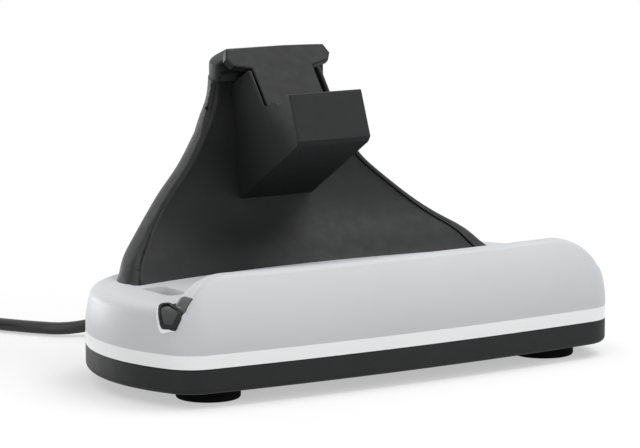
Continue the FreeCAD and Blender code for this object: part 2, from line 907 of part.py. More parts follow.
def top_shell():
    body = new_body("top_shell")
    shell_form(body)
    sketches = []
    for level in (band_top, deck_under):
        sketch = new_sketch(body, "XY_Plane", level)
        lean = wall_inset(level) if level is deck_under else 0
        outline(sketch, size("shell_wall") + lean)
        sketches.append(sketch)
    loft(body, sketches, cut=True, ruled=True)
    # spigot that the accent band sits round
    sketch = new_sketch(body, "XY_Plane", band_top)
    outline(sketch, size("band_thickness") + size("spigot_gap"))
    outline(sketch, size("shell_wall"))
    pad(body, sketch, size("spigot_drop"), back=True)
    # posts for the case screws
    places = list(case_places().values())
    sketch = new_sketch(body, "XY_Plane", collar_top)
    circles(sketch, places, size("post_diameter"))
    pad(body, sketch, deck_under - collar_top + size("deck_thickness") * 0.5)
    sketch = new_sketch(body, "XY_Plane", collar_top)
    circles(sketch, places, size("case_screw") + size("screw_gap") * 2)
    pocket(body, sketch, size("case_screw_length"), along_normal=True)
    # seat of the upright, its screw holes and the way through for the wires
    gap = size("seat_gap")
    sketch = upright_section(body, "foot", -gap, size("upright_thickness") + size("upright_seat") * 1.5 + gap,
                             side=-gap, level=deck,
                             rounds=(size("edge_round") + gap, size("back_round") + gap))
    pocket(body, sketch, size("upright_seat"))
    sketch = new_sketch(body, "XY_Plane", deck_under)
    circles(sketch, mast_places(), size("mast_screw") + size("hole_gap") * 2)
    pocket(body, sketch, along_normal=True)
    sketch = new_sketch(body, "XY_Plane", deck_under)
    rectangle(sketch, -size("lead_hole_half"), size("lead_hole_half"), size("lead_hole_front"),
              size("lead_hole_back"))
    pocket(body, sketch, along_normal=True)
    sketch = new_sketch(body, "XZ_Plane", -size("relief_flange_back"))
    circle(sketch, 0, size("cord_height"), size("relief_bore"))
    pocket(body, sketch)
    # slot beside the seat
    left = size("slot_in") - size("half_width")
    front = plan_front + size("slot_back")
    sketch = new_sketch(body, "XY_Plane", deck)
    rectangle(sketch, left, left + size("slot_width"), front, front + size("slot_length"))
    pocket(body, sketch, size("slot_depth"))
    middle = (left + size("slot_width") * 0.5).value

    def slot_corner(edge):
        box = edge.BoundBox
        upright = box.XLength < 1e-3 and box.YLength < 1e-3
        near = abs(box.XMin - middle) < size("slot_width").value * 0.51
        inside = front.value - 1e-3 < box.YMin < (front + size("slot_length")).value + 1e-3
        return upright and near and inside and abs(box.ZLength - size("slot_depth").value) < 1e-3

    fillet(body, slot_corner, size("slot_round"))
    # notch of the light window
    sketch = new_sketch(body, "YZ_Plane", window_face)
    polygon(sketch, window_corners(as_size(0)))
    pocket(body, sketch)
    return body


def light_window():
    """Smoky lens that fills the notch at the left end of the lip."""
    body = new_body("light_window")
    shell_form(body)
    sketch = new_sketch(body, "YZ_Plane")
    rectangle(sketch, -size("half_depth") * 3, size("half_depth") * 2, 0, lip_top * 2)
    polygon(sketch, window_corners(size("window_gap")))
    pocket(body, sketch, symmetric=True)
    sketch = new_sketch(body, "XZ_Plane")
    rectangle(sketch, window_face, size("half_width") * 2, 0, lip_top * 2)
    pocket(body, sketch, symmetric=True)
    return body


def box(body, plane, level, low_x, high_x, low_y, high_y, length):
    """A block padded from a rectangle."""
    sketch = new_sketch(body, plane, level)
    rectangle(sketch, low_x, high_x, low_y, high_y)
    return pad(body, sketch, length)


def many(label):
    """A body that may hold several equal solids."""
    body = new_body(label)
    body.AllowCompound = True
    return body


def hexagon(sketch, x, y, across):
    half = across * 0.5
    side = across * 0.433
    quarter = across * 0.25
    polygon(sketch, [(x + half, y), (x + quarter, y + side), (x - quarter, y + side),
                     (x - half, y), (x - quarter, y - side), (x + quarter, y - side)])


def screws(label, plane, places, seat, kind, upward):
    """A set of equal screws: the head's seat is at a level, the shank goes up or down from it."""
    body = many(label)
    sketch = new_sketch(body, plane, seat)
    circles(sketch, places, size(kind + "_head"))
    pad(body, sketch, size(kind + "_head_height"), back=upward)
    sketch = new_sketch(body, plane, seat)
    circles(sketch, places, size(kind + "_screw"))
    pad(body, sketch, size(kind + "_screw_length"), back=not upward)
    top = seat - size(kind + "_head_height") if upward else seat + size(kind + "_head_height")
    sketch = new_sketch(body, plane, top)
    for x, y in places:
        hexagon(sketch, x, y, size(kind + "_head") * 0.5)
    pocket(body, sketch, size(kind + "_head_height") * 0.6, along_normal=upward)
    return body


def panel_places():
    low_x = size("panel_screw_low_x")
    high_x = size("panel_screw_high_x")
    low_z = size("panel_screw_low_z")
    high_z = size("panel_screw_high_z")
    return [(-low_x, low_z), (low_x, low_z), (-high_x, high_z), (high_x, high_z)]


panel_back = size("panel_sunk") + size("panel_thickness")


def thickness_at(name):
    """Thickness of the upright at a level: the neck under the head is thinner."""
    if name in ("g", "h"):
        return size("upright_thickness") - size("neck_thin_" + name)
    return size("upright_thickness")


def upright_rear():
    """Rear half of the upright, with the foot that screws down to the deck."""
    body = new_body("upright_rear")
    thickness = size("upright_thickness")
    rounds = (size("edge_round"), size("back_round"))
    loft(body, [upright_section(body, name, as_size(0), thickness_at(name), rounds=rounds) for name in LEVELS])
    # seat for the front panel, then the hollow behind it
    loft(body, [upright_section(body, name, -thickness, panel_back + size("panel_seat"), side=size("rim"))
                for name in LEVELS], cut=True)
    side = size("rim") + size("panel_ledge")
    cavity = thickness - size("rear_wall")
    slices = [upright_section(body, name, panel_back * 0.5, thickness_at(name) - size("rear_wall"), side=side)
              for name in LEVELS[1:-1]]
    slices.append(upright_section(body, "top", panel_back * 0.5, cavity, side=side, level=size("cavity_top")))
    loft(body, slices, cut=True)
    # way for the wires through the foot
    loft(body, [upright_section(body, name, panel_back, cavity, half=size("lead_way"))
                for name in LEVELS[:3]], cut=True)
    # sloping top
    step = size("head_front") - size("head_back")
    near = size("face_top") - thickness
    far = size("face_top") + thickness * 2
    sketch = new_sketch(body, "YZ_Plane")
    polygon(sketch, [(near, size("head_front") + step), (far, size("head_back") - step),
                     (far, size("head_front") * 2), (near, size("head_front") * 2)])
    pocket(body, sketch, symmetric=True)
    # slanting top corners
    high = size("head_front")
    inner = size("half_top") - size("head_corner_in")
    outer = size("half_top") + size("head_corner_in")
    low = high - size("head_corner_drop") * 2
    sketch = new_sketch(body, "XZ_Plane")
    above = high + step
    polygon(sketch, [(inner, high), (outer, low), (outer, above), (inner, above)])
    polygon(sketch, [(-inner, high), (-outer, low), (-outer, above), (-inner, above)])
    pocket(body, sketch, symmetric=True)
    sketch = new_sketch(body, "XY_Plane", upright_base)
    circles(sketch, mast_places(), size("mast_screw") + size("screw_gap") * 2)
    pocket(body, sketch, deck_under + size("mast_screw_length") + size("fit_gap") - upright_base,
           along_normal=True)
    sketch = new_sketch(body, "XZ_Plane", -size("panel_head_seat"))
    circles(sketch, panel_places(), size("panel_head") + size("head_gap") * 2)
    pocket(body, sketch)
    sketch = new_sketch(body, "XZ_Plane", -size("panel_post_back"))
    circles(sketch, panel_places(), size("panel_screw") + size("hole_gap") * 2)
    pocket(body, sketch)
    return body


def neck_y(z, behind=0):
    """The sloping neck plane, or a plane behind it."""
    run = (z - pocket_floor) * (1 / math.tan(math.radians(SIZES["plate_lean"])))
    return size("neck_foot_y") + run + behind


def arm_face_edge(edge):
    """An edge around the front face of the arm, from the chin up to the brow."""
    near = 0.01
    box = edge.BoundBox
    beside = box.XLength < near and abs(abs(box.XMin) - size("arm_half").value) < near
    across = box.XLength > size("arm_half").value and box.ZMin > below_floor("arm_nose_drop").value - near
    if beside:
        return box.YMax < size("brow_y").value + near
    return across and box.YMax < size("arm_tip_y").value + near


def upright_front():
    """Front panel of the upright with the forward arm."""
    body = new_body("upright_front")
    loft(body, [upright_section(body, name, size("panel_sunk"), panel_back,
                                side=size("rim") + size("panel_gap")) for name in LEVELS])
    sketch = new_sketch(body, "XY_Plane", size("panel_top"))
    rectangle(sketch, -far_x, far_x, -far_y, far_y)
    pocket(body, sketch, along_normal=True)
    sketch = new_sketch(body, "YZ_Plane")
    polygon(sketch, [(size("cheek_top_y"), above_floor("cheek_top_rise")),
                     (size("arm_back_y"), size("arm_back_high")),
                     (size("arm_back_y"), size("arm_back_low")), (size("arm_root_y"), size("arm_root_z")),
                     (size("arm_chin_y"), below_floor("arm_chin_drop")),
                     (size("arm_nose_y"), below_floor("arm_nose_drop")),
                     (size("arm_tip_y"), above_floor("arm_tip_rise")),
                     (size("brow_y"), above_floor("brow_rise")),
                     (size("brow_low_y"), above_floor("brow_low_rise")),
                     (size("dip_y"), above_floor("dip_rise")),
                     (size("ridge_front_y"), above_floor("ridge_rise")),
                     (size("ridge_back_y"), above_floor("ridge_rise")),
                     (size("valley_y"), above_floor("valley_rise")),
                     (size("cheek_foot_y"), above_floor("valley_rise"))])
    pad(body, sketch, size("arm_half") * 2, symmetric=True)
    fillet(body, arm_face_edge, size("arm_round"))
    # pocket for the console, between two thin cheeks
    between = (size("arm_half") - size("cheek")) * 2
    floor = pocket_floor
    above = floor + size("plate_length") * 1.5
    slope = size("plate_thickness") * (1 / math.sin(math.radians(SIZES["plate_lean"])))
    lean = (size("pocket_front_high") - size("pocket_front_low")) / size("arm_tip_rise")
    sketch = new_sketch(body, "YZ_Plane")
    polygon(sketch, [(size("pocket_front_low"), floor), (neck_y(floor, slope), floor),
                     (neck_y(above, slope), above),
                     (size("pocket_front_low") + (above - floor) * lean, above)])
    pocket(body, sketch, between, symmetric=True)
    # hollow for the plug's carrier and its wires
    sketch = new_sketch(body, "YZ_Plane")
    polygon(sketch, [(size("hollow_front"), below_floor("hollow_top_drop")),
                     (size("hollow_front"), below_floor("hollow_low_drop")),
                     (size("hollow_back"), size("hollow_back_low")),
                     (size("hollow_back"), size("hollow_back_high")),
                     (size("hollow_neck_y"), size("hollow_back_high")),
                     (size("hollow_neck_low_y"), floor),
                     (size("hollow_neck_low_y"), below_floor("hollow_top_drop"))])
    pocket(body, sketch, size("hollow_half") * 2, symmetric=True)
    gap = size("carrier_gap")
    sketch = new_sketch(body, "XY_Plane", below_floor("hollow_top_drop"))
    rectangle(sketch, -size("carrier_half") - gap, size("carrier_half") + gap,
              size("carrier_front") - gap, size("carrier_back") + gap)
    pocket(body, sketch, size("hollow_top_drop") + gap, along_normal=True)
    sketch = new_sketch(body, "XY_Plane", below_floor("hollow_top_drop"))
    circles(sketch, carrier_places(), size("carrier_screw") + size("screw_gap") * 2)
    pocket(body, sketch, size("carrier_screw_length") - size("flange_thickness") + size("fit_gap"),
           along_normal=True)
    # posts for the panel screws
    sketch = new_sketch(body, "XZ_Plane", -size("panel_post_back"))
    circles(sketch, panel_places(), size("panel_post"))
    pad(body, sketch, size("panel_post_length"))
    sketch = new_sketch(body, "XZ_Plane", -size("panel_post_back"))
    circles(sketch, panel_places(), size("panel_screw") + size("screw_gap") * 2)
    reach = size("panel_screw_length") - (size("panel_head_seat") - size("panel_post_back"))
    pocket(body, sketch, reach + size("fit_gap"), along_normal=True)
    return body


def carrier_places():
    return [(-size("carrier_screw_x"), size("plug_y")), (size("carrier_screw_x"), size("plug_y"))]


def turned(body, x, y, z, degrees):
    body.Placement = Placement(Vector(x, y, z), Rotation(Vector(1, 0, 0), degrees))
    return body


def head_plate():
    """T-shaped plate on the neck; drawn flat, then leaned back."""
    body = new_body("head_plate")
    half = size("plate_half")
    length = size("plate_length")
    top = size("bar_top_half")
    corners = [(-top, length), (-size("bar_wide_half"), size("bar_wide")),
               (-size("bar_start_half"), size("bar_start")), (-half, size("bar_low")), (-half, size("plate_foot")),
               (half, size("plate_foot")), (half, size("bar_low")), (size("bar_start_half"), size("bar_start")),
               (size("bar_wide_half"), size("bar_wide")), (top, length)]
    sketch = new_sketch(body, "XY_Plane")
    for (x_a, y_a), (x_b, y_b) in zip(corners, corners[1:]):
        sketch.addGeometry(Part.LineSegment(Vector(x_a.value, y_a.value, 0), Vector(x_b.value, y_b.value, 0)),
                           False)
    last = len(corners) - 1
    for here in range(last - 1):
        sketch.addConstraint(Sketcher.Constraint("Coincident", here, 2, here + 1, 1))
    arch = size("bar_arch")
    sweep = (top * top + arch * arch) / (arch * 2)
    middle = length + arch - sweep
    turn = math.asin(top.value / sweep.value)
    sketch.addGeometry(Part.ArcOfCircle(Part.Circle(Vector(0, middle.value, 0), Vector(0, 0, 1), sweep.value),
                                        math.pi / 2 - turn, math.pi / 2 + turn), False)
    sketch.addConstraint(Sketcher.Constraint("Coincident", last - 1, 2, last, 1))
    sketch.addConstraint(Sketcher.Constraint("Coincident", last, 2, 0, 1))
    for here, (x, y) in enumerate(corners[:-1]):
        put(sketch, here, 1, x, y)
    put(sketch, last, 1, top, length)
    constrain(sketch, "Radius", last, sweep)
    pad(body, sketch, size("plate_thickness"), back=True)
    fillet(body, lambda edge: at_level(edge, 0), size("plate_round"))
    # the back of the bar is cut upright, clear of the rear half
    rise = math.sin(math.radians(SIZES["plate_lean"]))
    run = math.cos(math.radians(SIZES["plate_lean"]))
    deep = size("plate_thickness") * 2
    clear = size("face_top") - size("bar_clear") - size("neck_foot_y")
    sketch = new_sketch(body, "YZ_Plane")
    start = clear / run
    over = (clear - deep * rise) / run
    polygon(sketch, [(over, -deep), (start, as_size(0)), (start + deep, as_size(0)), (start + deep, -deep)])
    pocket(body, sketch, symmetric=True)
    return turned(body, 0, SIZES["neck_foot_y"], pocket_floor.value, SIZES["plate_lean"])


def stadium(sketch, width, depth):
    """A slot with round ends, about the sketch's middle."""
    reach = (width - depth) * 0.5
    radius = depth * 0.5
    x = reach.value
    r = radius.value
    axis = Vector(0, 0, 1)
    first = sketch.addGeometry(Part.ArcOfCircle(Part.Circle(Vector(x, 0, 0), axis, r),
                                                -math.pi / 2, math.pi / 2), False)
    sketch.addGeometry(Part.LineSegment(Vector(x, r, 0), Vector(-x, r, 0)), False)
    sketch.addGeometry(Part.ArcOfCircle(Part.Circle(Vector(-x, 0, 0), axis, r),
                                        math.pi / 2, 3 * math.pi / 2), False)
    sketch.addGeometry(Part.LineSegment(Vector(-x, -r, 0), Vector(x, -r, 0)), False)
    sketch.addConstraint(Sketcher.Constraint("Tangent", first, 2, first + 1, 1))
    sketch.addConstraint(Sketcher.Constraint("Tangent", first + 1, 2, first + 2, 1))
    sketch.addConstraint(Sketcher.Constraint("Tangent", first + 2, 2, first + 3, 1))
    sketch.addConstraint(Sketcher.Constraint("Tangent", first + 3, 2, first, 1))
    put(sketch, first, 3, reach, 0)
    put(sketch, first + 2, 3, -reach, 0)
    constrain(sketch, "Radius", first, radius)
    return sketch


def plug():
    """The charging plug: thin shell, core with its slot, and the carrier that holds it in the arm."""
    middle = (SIZES["plug_y"], SIZES["pocket_floor"])
    lean = -SIZES["plug_lean"]
    wall = size("plug_wall") * 2
    body = new_body("plug_shell")
    sketch = stadium(new_sketch(body, "XY_Plane"), size("plug_width"), size("plug_depth"))
    stadium(sketch, size("plug_width") - wall, size("plug_depth") - wall)
    pad(body, sketch, size("plug_length"))
    turned(body, 0, middle[0], middle[1], lean)
    body = new_body("plug_core")
    sketch = stadium(new_sketch(body, "XY_Plane"), size("plug_width") - wall, size("plug_depth") - wall)
    pad(body, sketch, size("plug_length") - size("plug_core_back"))
    sketch = new_sketch(body, "XY_Plane", size("plug_length") - size("plug_core_back"))
    half = size("plug_slot_width") * 0.5
    deep = size("plug_slot_depth") * 0.5
    rectangle(sketch, -half, half, -deep, deep)
    pocket(body, sketch, size("plug_slot_length"))
    turned(body, 0, middle[0], middle[1], lean)

    body = new_body("plug_carrier")
    rise = (size("carrier_back") - size("plug_y")) * math.tan(math.radians(SIZES["plug_lean"]))
    sketch = new_sketch(body, "YZ_Plane")
    floor = pocket_floor
    polygon(sketch, [(size("carrier_front"), below_floor("carrier_drop")),
                     (size("carrier_back"), below_floor("carrier_drop")),
                     (size("carrier_back"), floor - rise), (size("carrier_front"), floor + rise)])
    pad(body, sketch, size("carrier_half") * 2, symmetric=True)
    box(body, "XY_Plane", flange_low, -size("flange_half"), size("flange_half"), size("flange_front"),
        size("flange_back"), size("flange_thickness"))
    sketch = new_sketch(body, "XY_Plane", flange_low)
    circles(sketch, carrier_places(), size("carrier_screw") + size("hole_gap") * 2)
    pocket(body, sketch, along_normal=True)
    screws("carrier_screws", "XY_Plane", carrier_places(), flange_low, "carrier", True)
    body = new_body("connector_board")
    box(body, "XY_Plane", below_floor("carrier_drop") - size("connector_thickness"), -size("connector_half"),
        size("connector_half"), size("connector_front"), size("connector_back"), size("connector_thickness"))


flange_low = below_floor("hollow_top_drop") - size("flange_thickness")
board_low = tray_inside + size("standoff")
board_top = board_low + size("board_thickness")
weight_top = tray_inside + size("weight_height")


def board_places():
    inset = size("board_hole_inset")
    left = size("board_left") + inset
    right = size("board_right") - inset
    front = size("board_front") + inset
    back = size("board_back") - inset
    return [(left, front), (right, front), (left, back), (right, back)]


def weight_places():
    inset = size("weight_hole_inset")
    return [(size("weight_left") + inset, size("weight_front") + inset),
            (size("weight_right") - inset, size("weight_back") - inset)]


def tray_fittings(body):
    """Standoffs, weight posts and the light board's post inside the tray."""
    sketch = new_sketch(body, "XY_Plane", tray_inside)
    circles(sketch, board_places(), size("standoff_diameter"))
    pad(body, sketch, size("standoff"))
    sketch = new_sketch(body, "XY_Plane", board_low)
    circles(sketch, board_places(), size("board_screw") + size("screw_gap") * 2)
    pocket(body, sketch, size("board_screw_length") - size("board_thickness") + size("fit_gap"))
    sketch = new_sketch(body, "XY_Plane", tray_inside)
    circles(sketch, weight_places(), size("weight_post"))
    pad(body, sketch, size("weight_height") - size("weight_post_short"))
    sketch = new_sketch(body, "XY_Plane", weight_top)
    circles(sketch, weight_places(), size("weight_screw") + size("screw_gap") * 2)
    pocket(body, sketch, size("weight_screw_length") + size("fit_gap"))
    sketch = new_sketch(body, "XY_Plane", tray_inside)
    circle(sketch, window_face + size("led_post_in"), plan_front + size("led_post_back"),
           size("led_post_diameter"))
    pad(body, sketch, size("led_board_low") - tray_inside)


def electronics():
    body = new_body("main_board")
    box(body, "XY_Plane", board_low, size("board_left"), size("board_right"), size("board_front"),
        size("board_back"), size("board_thickness"))
    sketch = new_sketch(body, "XY_Plane", board_low)
    circles(sketch, board_places(), size("board_screw") + size("hole_gap") * 2)
    pocket(body, sketch, along_normal=True)
    screws("board_screws", "XY_Plane", board_places(), board_top, "board", False)
    square("charge_controller", "chip", size("chip_size"), size("chip_height"))
    square("power_inductor", "inductor", size("coil_size"), size("coil_height"))
    body = many("filter_capacitors")
    sketch = new_sketch(body, "XY_Plane", board_top)
    circles(sketch, [(size("capacitor_x"), size("capacitor_front_y")),
                     (size("capacitor_x"), size("capacitor_back_y"))], size("capacitor_diameter"))
    pad(body, sketch, size("capacitor_height"))

    body = new_body("base_weight")
    box(body, "XY_Plane", tray_inside, size("weight_left"), size("weight_right"), size("weight_front"),
        size("weight_back"), size("weight_height"))
    sketch = new_sketch(body, "XY_Plane", tray_inside)
    circles(sketch, weight_places(), size("weight_post") + size("hole_gap") * 2)
    pocket(body, sketch, along_normal=True)
    screws("weight_screws", "XY_Plane", weight_places(), weight_top, "weight", False)

    body = new_body("light_board")
    box(body, "XY_Plane", size("led_board_low"), window_face - size("led_board_out"),
        window_face + size("led_board_in"), plan_front + size("led_board_front"),
        plan_front + size("led_board_back"), size("led_board_thickness"))
    led_x = window_face + size("led_in")
    led_y = plan_front + size("led_back")
    light_top = size("led_board_low") + size("led_board_thickness")
    half = size("led_width") * 0.5
    body = new_body("status_led")
    box(body, "XY_Plane", light_top, led_x - half, led_x + half, led_y - half,
        led_y + half, size("led_height"))
    body = new_body("light_guide")
    deep = size("guide_depth") * 0.5
    box(body, "XY_Plane", light_top, window_face, window_face + size("guide_width"), led_y - deep,
        led_y + deep, size("guide_top") - light_top)
    around = half + size("led_gap")
    sketch = new_sketch(body, "XY_Plane", light_top)
    rectangle(sketch, led_x - around, led_x + around, led_y - around,
              led_y + around)
    pocket(body, sketch, size("led_height") + size("led_gap"), along_normal=True)


def square(label, name, side, height):
    half = side * 0.5
    x = size(name + "_x")
    y = size(name + "_y")
    box(new_body(label), "XY_Plane", board_top, x - half, x + half, y - half, y + half, height)


def route_wire(points):
    """Straight runs joined by arcs that touch them, as one wire."""
    points = [Vector(*point) for point in points]
    edges = []
    start = points[0]
    tightest = None
    for before, here, after in zip(points, points[1:], points[2:]):
        into = (here - before).normalize()
        out = (after - here).normalize()
        turn = into.getAngle(out)
        reach = 0.45 * min((here - before).Length, (after - here).Length)
        radius = reach / math.tan(turn / 2)
        tightest = radius if tightest is None else min(radius, tightest)
        first = here - into * reach
        last = here + out * reach
        inward = (out - into).normalize()
        middle = here + inward * (radius / math.cos(turn / 2) - radius)
        edges.append(Part.LineSegment(start, first).toShape())
        edges.append(Part.Arc(first, middle, last).toShape())
        start = last
    edges.append(Part.LineSegment(start, points[-1]).toShape())
    return Part.Wire(edges), tightest


def tube(label, points, diameter):
    """A round lead along a route; its shape is swept, so it is set directly."""
    wire, tightest = route_wire(points)
    start = Vector(*points[0])
    along = Vector(*points[1]) - start
    ring = Part.Wire(Part.Circle(start, along, diameter / 2).toShape())
    shape = wire.makePipeShell([ring], True, False)
    expected = math.pi * diameter ** 2 / 4 * wire.Length
    if abs(shape.Volume / expected - 1) > 0.01:
        raise RuntimeError("%s has the wrong volume" % label)
    item = doc.addObject("Part::Feature", label)
    item.Label = label
    item.Shape = shape
    NODES.append(item)
    print(label, "length", round(wire.Length, 1), "tightest bend", round(tightest, 1))
    return item


def cord_route():
    """The seen part of the lead: from the strain relief down to the floor, then away to the left."""
    level = SIZES["cord_height"]
    floor = SIZES["cord_floor"]
    return [(0, SIZES["relief_end"], level), (0, 64.0, level), (-7.6, 75.2, 15.4), (-23.5, 80.0, 6.8),
            (-43.6, 81.2, floor), (-55.6, 98.0, floor), (-62.6, 113.0, floor),
            (SIZES["cord_end_x"], SIZES["cord_end_y"], floor)]


def leads():
    top = board_top.value
    light_top = SIZES["led_board_low"] + SIZES["led_board_thickness"]
    level = light_top + 5.0
    tube("light_lead", [(-67.3, -33.2, light_top), (-67.3, -33.2, level), (-56.0, -33.6, level),
                        (-43.5, -6.0, level), (-43.5, -6.0, top)], SIZES["led_lead"])
    board = below_floor("carrier_drop").value - SIZES["connector_thickness"]
    tube("plug_harness", [(-6.0, 8.0, top), (-6.0, 8.0, 17.5), (0, 19.6, 18.5), (0, 19.9, 27.6), (0, 25.6, 33.7),
                          (0, 30.7, 38.8), (0, 35.3, 45.6), (0, 37.9, 52.8), (0, 38.4, 60.0), (0, 27.0, 62.5),
                          (0, 11.0, 64.9), (0, 11.0, board)], SIZES["harness"])
    tube("input_lead", [(0, SIZES["relief_flange_back"], SIZES["cord_height"]), (0, 31.0, SIZES["cord_height"]),
                        (-13.0, 22.0, 18.5), (-16.0, 8.8, 17.5), (-16.0, 8.8, top)], SIZES["input_lead"])
    tube("power_cord", cord_route(), SIZES["cord"])


def strain_relief():
    body = new_body("strain_relief")
    level = size("cord_height")
    back = size("relief_flange_back")
    sketch = new_sketch(body, "XZ_Plane", -back - size("relief_flange_thickness"))
    circle(sketch, 0, level, size("relief_flange"))
    pad(body, sketch, size("relief_flange_thickness"))
    sketch = new_sketch(body, "XZ_Plane", -size("relief_collar_end"))
    circle(sketch, 0, level, size("relief_collar"))
    pad(body, sketch, size("relief_collar_end") - back)
    slices = []
    for place, diameter in ((size("relief_collar_end"), size("relief_root")),
                            (size("relief_end"), size("relief_tip"))):
        sketch = new_sketch(body, "XZ_Plane", -place)
        circle(sketch, 0, level, diameter)
        slices.append(sketch)
    loft(body, slices)
    return body


def coil_place():
    """The coil's middle and turn: the lead runs into its side at an angle."""
    lean = math.radians(SIZES["coil_turn"] - SIZES["tail_lean"])
    side = SIZES["coil_side"]
    middle = Vector(SIZES["cord_end_x"] - side * math.cos(lean), SIZES["cord_end_y"] - side * math.sin(lean), 0)
    return Placement(middle, Rotation(Vector(0, 0, 1), SIZES["coil_turn"]))


usb_middle = size("usb_low") + size("usb_body_height") * 0.5


def coil():
    """The rest of the lead, wound up and tied."""
    body = new_body("cord_coil")
    sketch = new_sketch(body, "XZ_Plane")
    rectangle(sketch, size("coil_inner"), size("coil_outer"), size("coil_low"), size("coil_high"))
    ring = body.newObject("PartDesign::Revolution", "cord_coil_ring")
    ring.Profile = sketch
    ring.ReferenceAxis = (sketch, ["V_Axis"])
    ring.Angle = 360
    settle(ring)
    fillet(body, lambda edge: edge.Curve.TypeId == "Part::GeomCircle", size("coil_round"))
    # where the lead runs in, and where it leaves for the plug
    lean = math.radians(SIZES["tail_lean"])
    sketch = new_sketch(body, "XZ_Plane", size("coil_side") * math.sin(lean))
    circle(sketch, size("coil_side") * math.cos(lean), size("cord_floor"), size("cord"))
    pad(body, sketch, size("tail_length"), back=True)
    sketch = new_sketch(body, "YZ_Plane", -size("exit_length"))
    circle(sketch, size("exit_offset"), usb_middle, size("cord"))
    pad(body, sketch, size("exit_length"))
    body.Placement = coil_place()
    body = new_body("cord_tie")
    thick = size("tie_thickness")
    slack = size("tie_slack")
    sketch = new_sketch(body, "YZ_Plane")
    rectangle(sketch, -size("coil_outer") - thick, -size("coil_inner") + slack + thick,
              size("coil_low") - thick, size("coil_high") + thick)
    rectangle(sketch, -size("coil_outer"), -size("coil_inner") + slack, size("coil_low"), size("coil_high"))
    pad(body, sketch, size("tie_width"), symmetric=True)
    body.Placement = coil_place()


def usb_plug():
    """The plug at the far end, lying beside the coil."""
    y = size("exit_offset")
    half = size("usb_body_width") * 0.5
    tall = size("usb_body_height") * 0.5
    start = -size("exit_length")
    body = new_body("usb_plug_body")
    sketch = new_sketch(body, "YZ_Plane", start)
    rectangle(sketch, y - half, y + half, usb_middle - tall, usb_middle + tall)
    pad(body, sketch, size("usb_body_length"), back=True)
    fillet(body, lambda edge: edge.BoundBox.XLength > size("usb_body_round").value, size("usb_body_round"))
    body.Placement = coil_place()
    front = start - size("usb_body_length")
    wide = size("usb_shell_width") * 0.5
    tall = size("usb_shell_height") * 0.5
    wall = size("usb_shell_wall")
    body = new_body("usb_plug_shell")
    sketch = new_sketch(body, "YZ_Plane", front)
    rectangle(sketch, y - wide, y + wide, usb_middle - tall, usb_middle + tall)
    rectangle(sketch, y - wide + wall, y + wide - wall, usb_middle - tall + wall, usb_middle + tall - wall)
    pad(body, sketch, size("usb_shell_length"), back=True)
    body.Placement = coil_place()
    body = new_body("usb_plug_tongue")
    sketch = new_sketch(body, "YZ_Plane", front)
    rectangle(sketch, y - wide + wall, y + wide - wall, usb_middle + tall - wall - size("usb_tongue_height"),
              usb_middle + tall - wall)
    pad(body, sketch, size("usb_tongue_length"), back=True)
    body.Placement = coil_place()


feet()
tray_fittings(base_tray())
accent_band()
top_shell()
light_window()
screws("case_screws", "XY_Plane", list(case_places().values()), head_seat, "case", True)
screws("mast_screws", "XY_Plane", mast_places(), deck_under, "mast", True)
electronics()
upright_rear()
upright_front()
head_plate()
screws("panel_screws", "XZ_Plane", panel_places(), -size("panel_head_seat"), "panel", True)
plug()
strain_relief()
leads()
coil()
usb_plug()
doc.recompute()

for item in doc.Objects:
    if "Invalid" in item.State or "Error" in item.State:
        raise RuntimeError("%s is in a bad state" % item.Label)
os.makedirs("parts", exist_ok=True)
for item in NODES:
    shape = item.Shape
    if shape.isNull() or not shape.isValid():
        raise RuntimeError("%s has a bad shape" % item.Label)
    shape.exportStep("parts/%s.step" % item.Label)
print(len(NODES), "nodes")
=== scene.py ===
"""Looks of the charging stand: camera, finishes, upright, window, lead with its coil, floor and light."""
import json
import math
import bmesh
import bpy
from mathutils import Matrix, Vector
from mathutils.bvhtree import BVHTree


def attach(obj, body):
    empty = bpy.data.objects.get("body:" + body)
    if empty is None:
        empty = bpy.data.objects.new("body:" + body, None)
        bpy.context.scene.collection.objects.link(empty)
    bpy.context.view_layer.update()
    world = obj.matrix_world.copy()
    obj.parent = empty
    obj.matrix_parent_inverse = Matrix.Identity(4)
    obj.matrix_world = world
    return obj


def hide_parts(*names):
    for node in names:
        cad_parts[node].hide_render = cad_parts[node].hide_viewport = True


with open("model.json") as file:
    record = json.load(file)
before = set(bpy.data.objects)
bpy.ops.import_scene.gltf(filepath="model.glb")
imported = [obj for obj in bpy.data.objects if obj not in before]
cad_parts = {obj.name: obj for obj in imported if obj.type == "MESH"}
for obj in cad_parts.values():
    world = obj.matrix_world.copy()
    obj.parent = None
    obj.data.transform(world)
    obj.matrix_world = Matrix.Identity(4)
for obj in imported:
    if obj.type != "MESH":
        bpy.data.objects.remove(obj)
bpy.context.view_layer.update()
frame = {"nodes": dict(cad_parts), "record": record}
nodes = frame["nodes"]
scene = bpy.context.scene
scene.view_settings.view_transform = "Standard"

# Sizes and places are in millimetres, and those of the camera, the floor and the lamps in metres
MM = 0.001


def limited(value):
    """A value kept between 0 and 1."""
    return min(max(value, 0.0), 1.0)


# Camera
PHOTO_TARGET = Vector((-11.59, -10.0, 45.08)) * MM
PHOTO_DISTANCE = 1.05728
PHOTO_AZIMUTH = math.radians(-34.133)
PHOTO_ELEVATION = math.radians(8.485)
PHOTO_LENS = 196.46
PHOTO_WIDTH = 640
PHOTO_HEIGHT = 448
SENSOR_WIDTH = 36.0
SEEN_FROM = 0.05
SEEN_TO = 20.0
PHOTO_AWAY = Vector((math.sin(PHOTO_AZIMUTH) * math.cos(PHOTO_ELEVATION),
                     -math.cos(PHOTO_AZIMUTH) * math.cos(PHOTO_ELEVATION), math.sin(PHOTO_ELEVATION)))
PHOTO_PLACE = PHOTO_TARGET + PHOTO_AWAY * PHOTO_DISTANCE
PHOTO_TURN = (-PHOTO_AWAY).to_track_quat("-Z", "Y")


